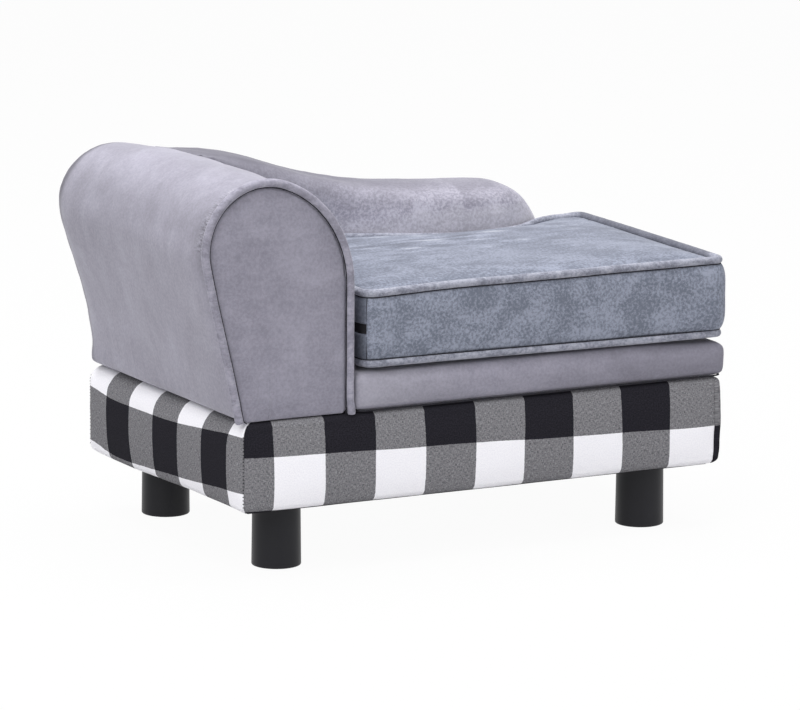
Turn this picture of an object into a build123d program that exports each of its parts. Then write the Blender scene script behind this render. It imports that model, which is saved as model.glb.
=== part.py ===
from build123d import *
import os
from math import cos, radians, sin, tan

# Pet sofa with one rolled arm, a wave-topped back and a loose seat cushion.
# Millimetres, +Z up, the seat faces -Y and the arm is at -X.
# The origin is on the floor under the middle of the overall box.

# Overall sizes
overall_length = 606.0
overall_depth = 370.0
overall_height = 407.0
arm_overhang = 46.5
seat_overhang = 8.5
left_end = -overall_length / 2
right_end = overall_length / 2
front_end = -overall_depth / 2
rear_end = overall_depth / 2
base_left = left_end + arm_overhang
base_right = right_end - seat_overhang

# Cloth, clearances and cuts
cloth = 1.6
piping_radius = 4.25
fit_gap = 0.05
soft_gap = 0.4
cut_overrun = 6.0
quarter_turn = 90.0

# Legs and their studs
leg_height = 66.5
leg_radius = 25.5
leg_taper = 0.8
leg_edge_round = 1.5
leg_inset_x = 62.0
leg_inset_y = 52.0
stud_radius = 4.0
stud_in_leg = 28.0
tee_flange_radius = 11.0
tee_flange_thickness = 1.5
tee_wall = 1.5

# Base box and its plaid cover
dust_sheet = 0.8
base_height = 93.5
panel_bulge = 2.0
base_top_round = 12.0
base_bottom_round = 8.0
base_turn_in = 20.0
base_padding = 3.4
rail_thickness = 12.0
panel_thickness = 9.0
corner_block = 30.0
screw_radius = 1.8
screw_length = 38.0
screw_head_radius = 3.8
screw_head_height = 2.4
screw_edge = 18.0
staple_wire = 1.0
staple_width = 9.0
staple_pitch = 52.0
staple_edge = 12.0

base_bottom = leg_height + dust_sheet
base_top = base_bottom + base_height
base_front = front_end + panel_bulge
base_rear = rear_end - panel_bulge
base_skin = cloth + base_padding
carcass_left = base_left + base_skin
carcass_right = base_right - base_skin
carcass_front = base_front + base_skin
carcass_rear = base_rear - base_skin
carcass_bottom = base_bottom + cloth
carcass_top = base_top - cloth

# Arm: the line of the piping round its front, then its padding and frame
arm_roll_radius = 66.5
arm_line_width = 162.0
arm_lean = 10.3
arm_shoulder_turn = 20.0
arm_foot_round = 15.0
arm_padding = 12.0
arm_crown = 2.0
arm_front_draw = 1.0
arm_draw_reach = 30.0
arm_draw_shares = (0, 0.3, 0.65, 1)
arm_rear_round = 9.0
arm_round_steps = 4
arm_facing_depth = 7.0
arm_facing_crown = 2.5
arm_board = 12.0
arm_batten = 20.0

roll_x = left_end + piping_radius + arm_roll_radius
roll_z = overall_height - piping_radius - arm_roll_radius
arm_right = left_end + piping_radius + arm_line_width
shoulder_share = sin(radians(arm_shoulder_turn))
arm_shoulder_radius = (arm_right - roll_x - arm_roll_radius * shoulder_share) / (1 - shoulder_share)
shoulder_z = roll_z - (arm_shoulder_radius - arm_roll_radius) * cos(radians(arm_shoulder_turn))
arm_piping_y = front_end + piping_radius
arm_wrap_front = arm_piping_y + piping_radius
arm_wrap_rear = rear_end - cloth - arm_crown

# Seat cushion
cushion_side_gap = 18.0
cushion_rear_room = 68.0
cushion_corner = 15.0
boxing_height = 78.0
boxing_bulge = 4.5
cushion_crown = 7.5
cushion_low_crown = 3.0
cushion_panel_step = 22.0
cushion_panel_reach = 85.0
crown_step_share = 0.62
seat_bow_left = 122.0
seat_bow_right = 37.25
seat_bow_depth = 28.0
seat_bow_blend = 40.0

# Deck under the cushion
deck_height = 41.0
deck_round = 12.0
deck_bulge = 2.0
deck_board_thickness = 9.0
deck_top = base_top + deck_height
deck_left = arm_right + piping_radius + deck_bulge + soft_gap
deck_right = right_end - deck_bulge
deck_front = base_front

cushion_left = arm_right + cushion_side_gap
cushion_right = right_end - boxing_bulge
cushion_front = front_end + boxing_bulge
cushion_rear = rear_end - cushion_rear_room
cushion_low = deck_top + soft_gap + piping_radius
cushion_high = cushion_low + boxing_height
cushion_mid_x = (cushion_left + cushion_right) / 2
cushion_mid_y = (cushion_front + cushion_rear) / 2
bow_left = cushion_left + seat_bow_left
bow_right = cushion_right - seat_bow_right

# Back: its wave in steps from the arm to the rounded right end
back_start_inset = 70.0
back_start_drop = 16.0
wave_start_angle = 8.0
wave_steep_angle = 18.5
wave_flat_angle = 3.4
wave_crest_share = 0.346
wave_trough_share = 0.359
back_end_inset = 17.2
back_shoulder_radius = 78.5
back_front_round = 18.0
back_rear_round = 7.0
back_board = 12.0
back_board_inset = 10.0
back_batten = 20.0
back_rear_wadding = 1.2

back_start_x = base_left + back_start_inset
back_start_z = overall_height - back_start_drop
back_right = base_right - back_end_inset
wave_run = back_right - back_start_x - back_shoulder_radius * (1 - sin(radians(wave_flat_angle)))
wave_crest_run = wave_run * wave_crest_share
wave_trough_run = wave_run * wave_trough_share
wave_flat_run = wave_run - wave_crest_run - wave_trough_run
back_face = cushion_rear + boxing_bulge / cos(radians(wave_steep_angle + wave_start_angle)) + soft_gap
back_rear = base_rear
board_rear = back_rear - cloth - back_rear_wadding
board_front = board_rear - back_board
batten_front = board_front - back_batten
deck_rear = batten_front - soft_gap - deck_bulge

# Bolts that hold the arm and the back to the base
bolt_radius = 3.0
bolt_head_radius = 5.0
bolt_head_height = 4.0
washer_radius = 7.0
washer_thickness = 1.5
bolt_in_batten = 16.0
insert_wall = 1.5
arm_bolt_edge = 64.0
arm_bolt_side = 8.0
back_bolt_edge = 45.0
back_bolt_count = 3
arm_bolt_left = carcass_left + rail_thickness + washer_radius + arm_bolt_side
arm_bolt_right = arm_right - arm_padding - arm_batten / 2

# Zip in the left boxing of the cushion
zip_opening = 10.0
zip_tape_width = 12.0
zip_tape = 0.8
zip_tape_seat = 0.15
zip_chain_width = 4.4
zip_chain_depth = 1.5
zip_stop = 1.5
zip_coil_gap = 0.3
zip_end_inset = 24.0
slider_length = 10.0
slider_width = 8.0
slider_depth = 3.4
slider_park = 6.0
pull_pin_radius = 0.7
pull_eye_radius = 1.5
pull_length = 7.5
pull_width = 4.6
pull_thickness = 1.4
bridge_gap = 0.25
bridge_wall = 0.9
zip_tape_x = cushion_left - boxing_bulge + cloth + zip_tape_seat


def front_plane(y):
    """Plane that faces -Y at this depth, its axes along +X and +Z."""
    return Plane(origin=(0, y, 0), x_dir=(1, 0, 0), z_dir=(0, -1, 0))


def side_plane(x):
    """Plane that faces +X at this place, its axes along +Y and +Z."""
    return Plane(origin=(x, 0, 0), x_dir=(0, 1, 0), z_dir=(1, 0, 0))


def block(x0, x1, y0, y1, z0, z1):
    """Box between two corners."""
    return Pos((x0 + x1) / 2, (y0 + y1) / 2, (z0 + z1) / 2) * Box(x1 - x0, y1 - y0, z1 - z0)


def rod(x, y, z0, z1, radius):
    """Upright cylinder."""
    return Pos(x, y, (z0 + z1) / 2) * Cylinder(radius, z1 - z0)


def slab(face, y0, y1):
    """Front outline drawn through from one depth to another."""
    return extrude(front_plane(y1) * face, amount=y1 - y0)


def joined(shapes):
    """One node of separate solids that share a name."""
    return Compound(children=[solid for shape in shapes for solid in shape.solids()])


def padded_profile(half_width, z0, z1, low_round, high_round, bulge):
    """Section of an upholstered box: rounded edges and bowed sides."""
    middle = (z0 + z1) / 2
    right = half_width
    outline = Line((-right + low_round, z0), (right - low_round, z0))
    outline += RadiusArc((right - low_round, z0), (right, z0 + low_round), -low_round)
    outline += ThreePointArc((right, z0 + low_round), (right + bulge, middle), (right, z1 - high_round))
    outline += RadiusArc((right, z1 - high_round), (right - high_round, z1), -high_round)
    outline += Line((right - high_round, z1), (-right + high_round, z1))
    outline += RadiusArc((-right + high_round, z1), (-right, z1 - high_round), -high_round)
    outline += ThreePointArc((-right, z1 - high_round), (-right - bulge, middle), (-right, z0 + low_round))
    outline += RadiusArc((-right, z0 + low_round), (-right + low_round, z0), -low_round)
    return make_face(outline)


def padded_box(x0, x1, y0, y1, z0, z1, low_round, high_round, bulge, inset):
    """Upholstered box with mitred corners, this far inside its outer cloth."""
    rounds = (low_round - inset, high_round - inset)
    across = (x1 - x0) / 2 - inset
    deep = (y1 - y0) / 2 - inset
    reach = bulge + cut_overrun
    wide = padded_profile(across, z0 + inset, z1 - inset, *rounds, bulge)
    long = padded_profile(deep, z0 + inset, z1 - inset, *rounds, bulge)
    wide_slab = extrude(front_plane(deep + reach) * wide, amount=2 * (deep + reach))
    long_slab = extrude(side_plane(-across - reach) * long, amount=2 * (across + reach))
    return Pos((x0 + x1) / 2, (y0 + y1) / 2, 0) * (wide_slab & long_slab)


def leg_places():
    """Centres of the four legs, with the names of their corners."""
    return {
        "front_left": (base_left + leg_inset_x, base_front + leg_inset_y),
        "front_right": (base_right - leg_inset_x, base_front + leg_inset_y),
        "rear_left": (base_left + leg_inset_x, base_rear - leg_inset_y),
        "rear_right": (base_right - leg_inset_x, base_rear - leg_inset_y),
    }


def make_leg(x, y):
    """Moulded leg, a little wider at its foot, with a blind hole for its stud."""
    body = Pos(0, 0, leg_height / 2) * Cone(leg_radius, leg_radius - leg_taper, leg_height)
    body = fillet(body.edges().sort_by(Axis.Z)[0], leg_edge_round)
    hole = rod(0, 0, leg_height - stud_in_leg, leg_height + cut_overrun, stud_radius + fit_gap)
    return Pos(x, y, 0) * (body - hole)


def make_studs():
    """Threaded studs that join the legs to the bottom panel."""
    low = leg_height - stud_in_leg + fit_gap
    high = carcass_bottom + panel_thickness + tee_flange_thickness
    return joined([rod(x, y, low, high, stud_radius) for x, y in leg_places().values()])


def make_tee_nuts():
    """Tee nuts in the bottom panel, flange up."""
    panel_top = carcass_bottom + panel_thickness
    nuts = []
    for x, y in leg_places().values():
        flange = rod(x, y, panel_top, panel_top + tee_flange_thickness, tee_flange_radius)
        barrel = rod(x, y, carcass_bottom, panel_top, stud_radius + tee_wall)
        bore = rod(x, y, carcass_bottom, panel_top + cut_overrun, stud_radius + fit_gap)
        nuts.append(flange + barrel - bore)
    return joined(nuts)


def bolt_places():
    """Places of the bolts through the top panel into the arm and the back."""
    arm_y = [base_front + arm_bolt_edge, base_rear - arm_bolt_edge]
    places = [(x, y) for x in (arm_bolt_left, arm_bolt_right) for y in arm_y]
    first = arm_right + back_bolt_edge
    step = (back_right - back_bolt_edge - first) / (back_bolt_count - 1)
    places += [(first + i * step, (batten_front + board_front) / 2) for i in range(back_bolt_count)]
    return places


def screw_rows():
    """Heights and sides of the screws through the front and rear rails."""
    low = carcass_bottom + panel_thickness + screw_edge
    high = carcass_top - panel_thickness - screw_edge
    middles = [carcass_left + rail_thickness / 2, carcass_right - rail_thickness / 2]
    return [(x, z) for x in middles for z in (low, high)]


def screw(x, z, head_y, inward, gap):
    """Countersunk screw along Y, its head flush with the rail; a gap makes its hole."""
    head_end = head_y + inward * screw_head_height
    shank = Plane(origin=(x, head_y, z), z_dir=(0, inward, 0)) * Pos(0, 0, screw_length / 2)
    head = Plane(origin=(x, head_y, z), z_dir=(0, inward, 0)) * Pos(0, 0, abs(head_end - head_y) / 2)
    body = shank * Cylinder(screw_radius + gap, screw_length + 2 * gap)
    return body + head * Cone(screw_head_radius + gap, screw_radius + gap, screw_head_height)


def all_screws(gap):
    """Every rail screw, or its hole if there is a gap."""
    made = []
    for x, z in screw_rows():
        made.append(screw(x, z, carcass_front, 1, gap))
        made.append(screw(x, z, carcass_rear, -1, gap))
    return made


def make_base_frame():
    """Rails, panels and corner blocks of the base."""
    rail_low = carcass_bottom + panel_thickness
    rail_high = carcass_top - panel_thickness
    holes = all_screws(fit_gap)
    inner_front = carcass_front + rail_thickness
    inner_rear = carcass_rear - rail_thickness
    inner_left = carcass_left + rail_thickness
    inner_right = carcass_right - rail_thickness
    front = block(carcass_left, carcass_right, carcass_front, inner_front, rail_low, rail_high)
    rear = block(carcass_left, carcass_right, inner_rear, carcass_rear, rail_low, rail_high)
    left = block(carcass_left, inner_left, inner_front, inner_rear, rail_low, rail_high)
    right = block(inner_right, carcass_right, inner_front, inner_rear, rail_low, rail_high)
    bottom = block(carcass_left, carcass_right, carcass_front, carcass_rear, carcass_bottom, rail_low)
    top = block(carcass_left, carcass_right, carcass_front, carcass_rear, rail_high, carcass_top)
    room = base_body(cloth + fit_gap)
    bottom &= room
    top &= room
    tee_room = stud_radius + tee_wall + fit_gap
    for x, y in leg_places().values():
        bottom -= rod(x, y, base_bottom - cut_overrun, rail_low + cut_overrun, tee_room)
    for x, y in bolt_places():
        top -= rod(x, y, rail_high - cut_overrun, base_top, bolt_radius + fit_gap)
    blocks = []
    for x0 in (inner_left, inner_right - corner_block):
        for y0 in (inner_front, inner_rear - corner_block):
            blocks.append(block(x0, x0 + corner_block, y0, y0 + corner_block, rail_low, rail_high))
    shaft = joined(holes)
    return {
        "base_front_rail": front - shaft,
        "base_rear_rail": rear - shaft,
        "base_left_rail": left - shaft,
        "base_right_rail": right - shaft,
        "base_bottom_panel": bottom,
        "base_top_panel": top,
        "base_corner_blocks": joined(blocks),
        "base_rail_screws": joined(all_screws(-fit_gap / 2)),
    }


def base_body(inset):
    """Padded body of the base, this far inside the plaid cloth."""
    return padded_box(
        base_left, base_right, base_front, base_rear, base_bottom, base_top,
        base_bottom_round, base_top_round, panel_bulge, inset,
    )


def make_base_padding():
    """Wadding between the rails and the plaid cloth."""
    core = block(carcass_left, carcass_right, carcass_front, carcass_rear, base_bottom, base_top)
    return base_body(cloth) - core


def make_plaid_panels():
    """Plaid cloth in four panels that meet at the corner seams."""
    opening_x = (base_left + base_turn_in, base_right - base_turn_in)
    opening_y = (base_front + base_turn_in, base_rear - base_turn_in)
    core = block(*opening_x, *opening_y, base_bottom - cut_overrun, base_top + cut_overrun)
    skin = base_body(0) - base_body(cloth) - core
    reach = panel_bulge + cut_overrun
    half = (base_rear - base_front) / 2
    middle = (base_rear + base_front) / 2
    corner = {
        "fl": (base_left - reach, base_front - reach),
        "fr": (base_right + reach, base_front - reach),
        "rl": (base_left - reach, base_rear + reach),
        "rr": (base_right + reach, base_rear + reach),
    }
    left_tip = (base_left + half, middle)
    right_tip = (base_right - half, middle)
    regions = {
        "plaid_front_panel": [corner["fl"], corner["fr"], right_tip, left_tip],
        "plaid_right_panel": [corner["fr"], corner["rr"], right_tip],
        "plaid_rear_panel": [corner["rr"], corner["rl"], left_tip, right_tip],
        "plaid_left_panel": [corner["rl"], corner["fl"], left_tip],
    }
    panels = {}
    for name, points in regions.items():
        region = make_face(Polyline(*points, close=True))
        column = extrude(Pos(0, 0, base_bottom - cut_overrun) * region, amount=base_height + 2 * cut_overrun)
        panels[name] = skin & column
    return panels


def make_dust_cover():
    """Thin black sheet under the base, over the turned-in plaid."""
    edge = staple_edge - base_bottom_round / 2
    sheet = block(
        base_left + edge, base_right - edge, base_front + edge, base_rear - edge,
        leg_height, base_bottom,
    )
    for x, y in leg_places().values():
        sheet -= rod(x, y, leg_height - cut_overrun, base_bottom + cut_overrun, stud_radius + fit_gap)
    return sheet


def make_staples():
    """Crowns of the staples that hold the dust cover and the plaid to the bottom panel."""
    count = int((base_right - base_left) / staple_pitch)
    first = base_left + (base_right - base_left - (count - 1) * staple_pitch) / 2
    staples = []
    for i in range(count):
        x = first + i * staple_pitch
        for y in (base_front + staple_edge, base_rear - staple_edge):
            staples.append(block(
                x - staple_width / 2, x + staple_width / 2, y - staple_wire / 2, y + staple_wire / 2,
                leg_height - staple_wire, leg_height,
            ))
    return joined(staples)


def arm_foot_x(inset, lift):
    """Where the leaning outer side of the arm meets its bottom, this far above the base."""
    lean = radians(arm_lean)
    radius = arm_roll_radius - inset
    tangent_x = roll_x - radius * cos(lean)
    tangent_z = roll_z - radius * sin(lean)
    return tangent_x + (tangent_z - base_top - lift) * tan(lean)


def arm_outline(inset, lift):
    """Front outline of the arm, this far inside the line of its piping and above the base."""
    lean = radians(arm_lean)
    turn = radians(arm_shoulder_turn)
    radius = arm_roll_radius - inset
    far_radius = arm_shoulder_radius - inset
    centre_gap = arm_shoulder_radius - arm_roll_radius
    far_x = roll_x - centre_gap * sin(turn)
    far_z = shoulder_z
    bottom = base_top + lift
    right = arm_right - inset
    foot_x = arm_foot_x(inset, lift)
    tangent = (roll_x - radius * cos(lean), roll_z - radius * sin(lean))
    crest = (roll_x, roll_z + radius)
    turnover = (roll_x + radius * sin(turn), roll_z + radius * cos(turn))
    half_turn = (radians(quarter_turn) + turn) / 2
    far_middle = (far_x + far_radius * sin(half_turn), far_z + far_radius * cos(half_turn))
    outline = Line((foot_x, bottom), tangent)
    outline += ThreePointArc(tangent, crest, turnover)
    outline += ThreePointArc(turnover, far_middle, (right, far_z))
    outline += Line((right, far_z), (right, bottom))
    outline += Line((right, bottom), (foot_x, bottom))
    face = make_face(outline)
    foot = face.vertices().sort_by_distance((foot_x, bottom))[0]
    return fillet(foot, arm_foot_round - inset)


def arm_body(inset, overrun):
    """Padded roll of the arm: drawn in at the piping, crowned, and rounded at the rear."""
    stations = []
    for share in arm_draw_shares:
        drawn = (arm_crown + arm_front_draw) * (1 - share) ** 2
        stations.append((arm_wrap_front + arm_draw_reach * share, drawn - arm_crown))
    for i in range(arm_round_steps + 1):
        turn = radians(quarter_turn) * i / arm_round_steps
        y = arm_wrap_rear - arm_rear_round * (1 - sin(turn))
        stations.append((y, arm_rear_round * (1 - cos(turn)) - arm_crown))
    if overrun:
        stations.insert(0, (arm_wrap_front - overrun, arm_front_draw))
        stations.append((arm_wrap_rear + overrun, arm_rear_round - arm_crown))
    return loft([front_plane(y) * arm_outline(step + inset, inset) for y, step in stations], ruled=True)


def make_arm():
    """Frame, padding, covers and piping of the arm."""
    frame_inset = arm_padding
    board_front_y = arm_wrap_front
    board_rear_y = arm_wrap_rear
    frame_front = board_front_y + arm_board
    frame_rear = board_rear_y - arm_board
    outline = arm_outline(frame_inset, frame_inset)
    core = slab(outline, board_front_y - cut_overrun, board_rear_y + cut_overrun)
    ends = slab(arm_outline(-arm_padding, -arm_padding), board_front_y, board_rear_y)
    batten = arm_batten
    low = base_top + frame_inset
    lean = radians(arm_lean)
    reach = arm_roll_radius - frame_inset - batten
    places = [
        (arm_bolt_left, low + batten / 2),
        (arm_bolt_right, low + batten / 2),
        (roll_x - reach * cos(lean), roll_z),
        (roll_x, roll_z + reach),
        (arm_bolt_right, shoulder_z - batten / 2),
    ]
    battens = []
    for x, z in places:
        battens.append(block(
            x - batten / 2, x + batten / 2, frame_front, frame_rear, z - batten / 2, z + batten / 2,
        ))
    for x, y in bolt_places():
        hole = rod(x, y, base_top - cut_overrun, low + bolt_in_batten, bolt_radius + insert_wall + fit_gap)
        battens = [piece - hole for piece in battens]
    wrap = arm_body(0, 0) - arm_body(cloth, cut_overrun)
    foam = (arm_body(cloth, cut_overrun) & ends) - core
    for x, y in bolt_places():
        foam -= rod(x, y, base_top - cut_overrun, low + cut_overrun, bolt_radius + insert_wall + fit_gap)
        wrap -= rod(x, y, base_top - cut_overrun, low + cut_overrun, bolt_radius + fit_gap)
    edge = piping_radius
    step = piping_radius + arm_facing_crown
    flat = piping_radius * 2 + arm_facing_crown
    facing_edge = arm_outline(edge, edge)
    facing_step = arm_outline(step, step)
    facing_flat = arm_outline(flat, flat)
    face_y = arm_wrap_front - arm_facing_depth + arm_facing_crown
    facing = slab(facing_edge, face_y, arm_wrap_front)
    facing += loft([
        front_plane(face_y) * facing_edge,
        front_plane(face_y - arm_facing_crown * crown_step_share) * facing_step,
        front_plane(face_y - arm_facing_crown) * facing_flat,
    ], ruled=True)
    rear_outline = arm_outline(arm_rear_round - arm_crown, 0)
    rear_panel = slab(rear_outline, arm_wrap_rear, arm_wrap_rear + cloth)
    path = front_plane(arm_piping_y) * arm_piping_line()
    start = Plane(origin=path @ 0, z_dir=path % 0)
    piping = sweep(start * Circle(piping_radius), path=path)
    return {
        "arm_front_board": slab(outline, board_front_y, frame_front),
        "arm_rear_board": slab(outline, frame_rear, board_rear_y),
        "arm_battens": joined(battens),
        "arm_foam": foam,
        "arm_wrap_cover": wrap,
        "arm_front_facing": facing,
        "arm_rear_panel": rear_panel,
        "arm_piping": piping,
    }


def arm_piping_line():
    """Open line of the piping round the front of the arm, foot to foot."""
    edges = arm_outline(0, 0).edges()
    lowest = edges.sort_by(Axis.Y)[0]
    return Wire([edge for edge in edges if edge is not lowest and edge.center().Y > lowest.center().Y])


def seat_face(x0, x1, y_curve, y_other):
    """Plan between a straight edge and the bowed line where the back meets the cushion."""
    middle = (bow_left + bow_right) / 2
    outline = Line((x0, y_other), (x0, y_curve))
    outline += Line((x0, y_curve), (bow_left, y_curve))
    outline += ThreePointArc((bow_left, y_curve), (middle, y_curve - seat_bow_depth), (bow_right, y_curve))
    outline += Line((bow_right, y_curve), (x1, y_curve))
    outline += Line((x1, y_curve), (x1, y_other))
    outline += Line((x1, y_other), (x0, y_other))
    face = make_face(outline)
    corners = [face.vertices().sort_by_distance((x, y_curve))[0] for x in (bow_left, bow_right)]
    return fillet(corners, seat_bow_blend)


def back_outline(inset):
    """Front outline of the back: a wave from the arm, then a rounded end."""
    a = radians(wave_start_angle)
    b = radians(wave_steep_angle)
    c = radians(wave_flat_angle)
    crest_radius = wave_crest_run / (sin(b) - sin(a))
    trough_radius = wave_trough_run / (sin(b) - sin(c))
    start = (back_start_x - inset * sin(a), back_start_z - inset * cos(a))
    crest = JernArc(start, (cos(a), -sin(a)), crest_radius - inset, wave_start_angle - wave_steep_angle)
    trough = JernArc(crest @ 1, crest % 1, trough_radius + inset, wave_steep_angle - wave_flat_angle)
    flat_end = trough @ 1 + (trough % 1) * (wave_flat_run / cos(c))
    flat = Line(trough @ 1, flat_end)
    shoulder = JernArc(flat_end, flat % 1, back_shoulder_radius - inset, wave_flat_angle - quarter_turn)
    end = shoulder @ 1
    bottom = base_top + inset
    outline = crest + trough + flat + shoulder
    outline += Line(end, (end.X, bottom))
    outline += Line((end.X, bottom), (back_start_x, bottom))
    outline += Line((back_start_x, bottom), start)
    return make_face(outline)


def back_body(inset):
    """Padded body of the back, this far inside its cloth."""
    plan = seat_face(back_start_x - cut_overrun, right_end, back_face + inset, back_rear - inset)
    column = extrude(Pos(0, 0, base_top) * plan, amount=overall_height)
    body = slab(back_outline(inset), front_end, rear_end) & column
    rear_edges = body.faces().sort_by(Axis.Y)[-1].edges().filter_by(lambda e: e.center().Z > deck_top)
    rear_edges = rear_edges.filter_by(lambda e: e.center().X > back_start_x + inset)
    body = fillet(rear_edges, back_rear_round - inset)
    front_edges = body.edges().filter_by(
        lambda e: e.center().Y < back_face + inset + cut_overrun and e.center().Z > deck_top + cut_overrun
        and e.center().X > back_start_x + inset
        and e.bounding_box().size.Z < overall_height / 2
    )
    return fillet(front_edges, back_front_round - inset)


def make_back():
    """Board, batten, padding and covers of the back."""
    left = back_start_x - cut_overrun
    under = base_top - cut_overrun
    rest = block(left, right_end, front_end, batten_front, under, deck_top)
    floor = block(left, right_end, front_end, rear_end, under, base_top + cloth)
    arm_space = slab(arm_outline(-arm_crown - soft_gap, -cut_overrun), front_end, rear_end)
    batten = block(
        arm_right + arm_crown + arm_padding, back_right - arm_padding * 2, batten_front, board_front,
        base_top, base_top + back_batten,
    )
    batten_room = batten
    insert_room = bolt_radius + insert_wall + fit_gap
    for x, y in bolt_places():
        batten -= rod(x, y, under, base_top + bolt_in_batten, insert_room)
    outer = back_body(0)
    inner = back_body(cloth)
    board = slab(back_outline(back_board_inset), board_front, board_rear)
    board += slab(back_outline(back_board_inset), board_front, board_rear).moved(
        Location((0, 0, -back_board_inset)))
    board -= arm_space
    rear_zone = block(left_end, right_end, back_rear - cloth, rear_end, under, overall_height)
    skin = (outer - inner) - arm_space
    front_cover = skin - rear_zone - rest - floor
    rear_cover = (outer & rear_zone) - arm_space
    foam = inner - arm_space - rest - board - batten_room
    foam -= rear_zone
    return {
        "back_board": board,
        "back_batten": batten,
        "back_foam": foam,
        "back_front_cover": front_cover,
        "back_rear_cover": rear_cover,
    }


def deck_body(inset):
    """Padded deck on the base, this far inside its cloth."""
    return padded_box(
        deck_left, deck_right, deck_front, deck_rear, base_top, deck_top,
        deck_round / 2, deck_round, deck_bulge, inset,
    )


def make_deck():
    """Board, foam and plush cover of the deck."""
    inner = deck_body(cloth)
    edge = deck_round / 2 + cloth
    board = block(
        deck_left + edge, deck_right - edge, deck_front + edge, deck_rear - edge,
        base_top + cloth, base_top + cloth + deck_board_thickness,
    )
    return {
        "deck_cover": deck_body(0) - inner,
        "deck_foam": inner - board,
        "deck_board": board,
    }


def make_bolts():
    """Bolts, washers and threaded inserts for the arm and the back."""
    head_top = carcass_top - panel_thickness
    bolts = []
    washers = []
    inserts = []
    for x, y in bolt_places():
        top = base_top + bolt_in_batten - fit_gap
        washer_low = head_top - washer_thickness
        washer = rod(x, y, washer_low, head_top, washer_radius)
        washers.append(washer - rod(x, y, washer_low - cut_overrun, base_top, bolt_radius + fit_gap))
        shank = rod(x, y, washer_low, top, bolt_radius)
        bolts.append(shank + rod(x, y, washer_low - bolt_head_height, washer_low, bolt_head_radius))
        in_arm = x < arm_right
        low = base_top + (arm_padding if in_arm else 0)
        sleeve = rod(x, y, low, low + bolt_in_batten - arm_padding / 2, bolt_radius + insert_wall)
        inserts.append(sleeve - rod(x, y, base_top - cut_overrun, overall_height, bolt_radius + fit_gap))
    return {
        "assembly_bolts": joined(bolts),
        "assembly_washers": joined(washers),
        "threaded_inserts": joined(inserts),
    }


def cushion_plan(inset):
    """Plan of the cushion, this far inside the line of its piping."""
    face = seat_face(cushion_left, cushion_right, cushion_rear, cushion_front)
    places = [(x, y) for x in (cushion_left, cushion_right) for y in (cushion_front, cushion_rear)]
    corners = [face.vertices().sort_by_distance(place)[0] for place in places]
    face = fillet(corners, cushion_corner)
    return offset(face, amount=-inset) if inset else face


def shrunk(face, reach):
    """Plan drawn in by this much on its long sides, its shape kept."""
    share = 1 - 2 * reach / (cushion_right - cushion_left)
    small = scale(Pos(-cushion_mid_x, -cushion_mid_y, 0) * face, by=share)
    return Pos(cushion_mid_x, cushion_mid_y, 0) * small


def cushion_dome(inset, z, rise):
    """Crowned panel body on one side of the cushion; a negative rise hangs down."""
    plan = cushion_plan(inset)
    return loft([
        Pos(0, 0, z) * plan,
        Pos(0, 0, z + rise * crown_step_share) * shrunk(plan, cushion_panel_step),
        Pos(0, 0, z + rise) * shrunk(plan, cushion_panel_reach),
    ])


def cushion_barrel(inset):
    """Bowed sides of the cushion between its two lines of piping."""
    middle = (cushion_low + cushion_high) / 2
    return loft([
        Pos(0, 0, cushion_low + piping_radius) * cushion_plan(inset),
        Pos(0, 0, middle) * cushion_plan(inset - boxing_bulge),
        Pos(0, 0, cushion_high - piping_radius) * cushion_plan(inset),
    ])


def cushion_piping(z):
    """Closed ring of piping at one height."""
    path = Pos(0, 0, z) * cushion_plan(0).face().outer_wire()
    start = Plane(origin=path @ 0, z_dir=path % 0)
    return sweep(start * Circle(piping_radius), path=path)


def zip_zone(z_half, x0, x1):
    """Block over the zip in the left boxing."""
    middle = (cushion_low + cushion_high) / 2
    y0 = cushion_front + cushion_corner
    y1 = cushion_rear - cushion_corner
    return block(x0, x1, y0, y1, middle - z_half, middle + z_half)


def make_cushion():
    """Core, panels, boxing and piping of the loose cushion."""
    seam = piping_radius
    fill_seam = piping_radius + cloth
    inner_barrel = cushion_barrel(cloth)
    top_dome = cushion_dome(seam, cushion_high, cushion_crown)
    low_dome = cushion_dome(seam, cushion_low, -cushion_low_crown)
    top_fill = cushion_dome(fill_seam, cushion_high, cushion_crown - cloth)
    low_fill = cushion_dome(fill_seam, cushion_low, cloth - cushion_low_crown)
    middle_fill = extrude(Pos(0, 0, cushion_low) * cushion_plan(fill_seam), amount=boxing_height)
    core = inner_barrel + middle_fill + top_fill + low_fill
    skin = cushion_barrel(0) - inner_barrel
    outer_x = cushion_left - boxing_bulge - cut_overrun
    inner_x = cushion_left + cushion_corner
    side = zip_zone(overall_height, outer_x, inner_x)
    slot = zip_zone(zip_opening / 2, outer_x, inner_x)
    tape_x = zip_tape_x
    tapes = zip_zone(zip_tape_width / 2, tape_x, tape_x + zip_tape)
    core -= zip_zone(zip_tape_width / 2 + fit_gap, outer_x, tape_x + zip_tape)
    return {
        "cushion_core": core,
        "cushion_top_panel": top_dome - top_fill,
        "cushion_bottom_panel": low_dome - low_fill,
        "cushion_boxing": skin - side,
        "cushion_zip_boxing": (skin & side) - slot,
        "cushion_top_piping": cushion_piping(cushion_high),
        "cushion_bottom_piping": cushion_piping(cushion_low),
        "zip_tape": tapes,
    }


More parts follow.
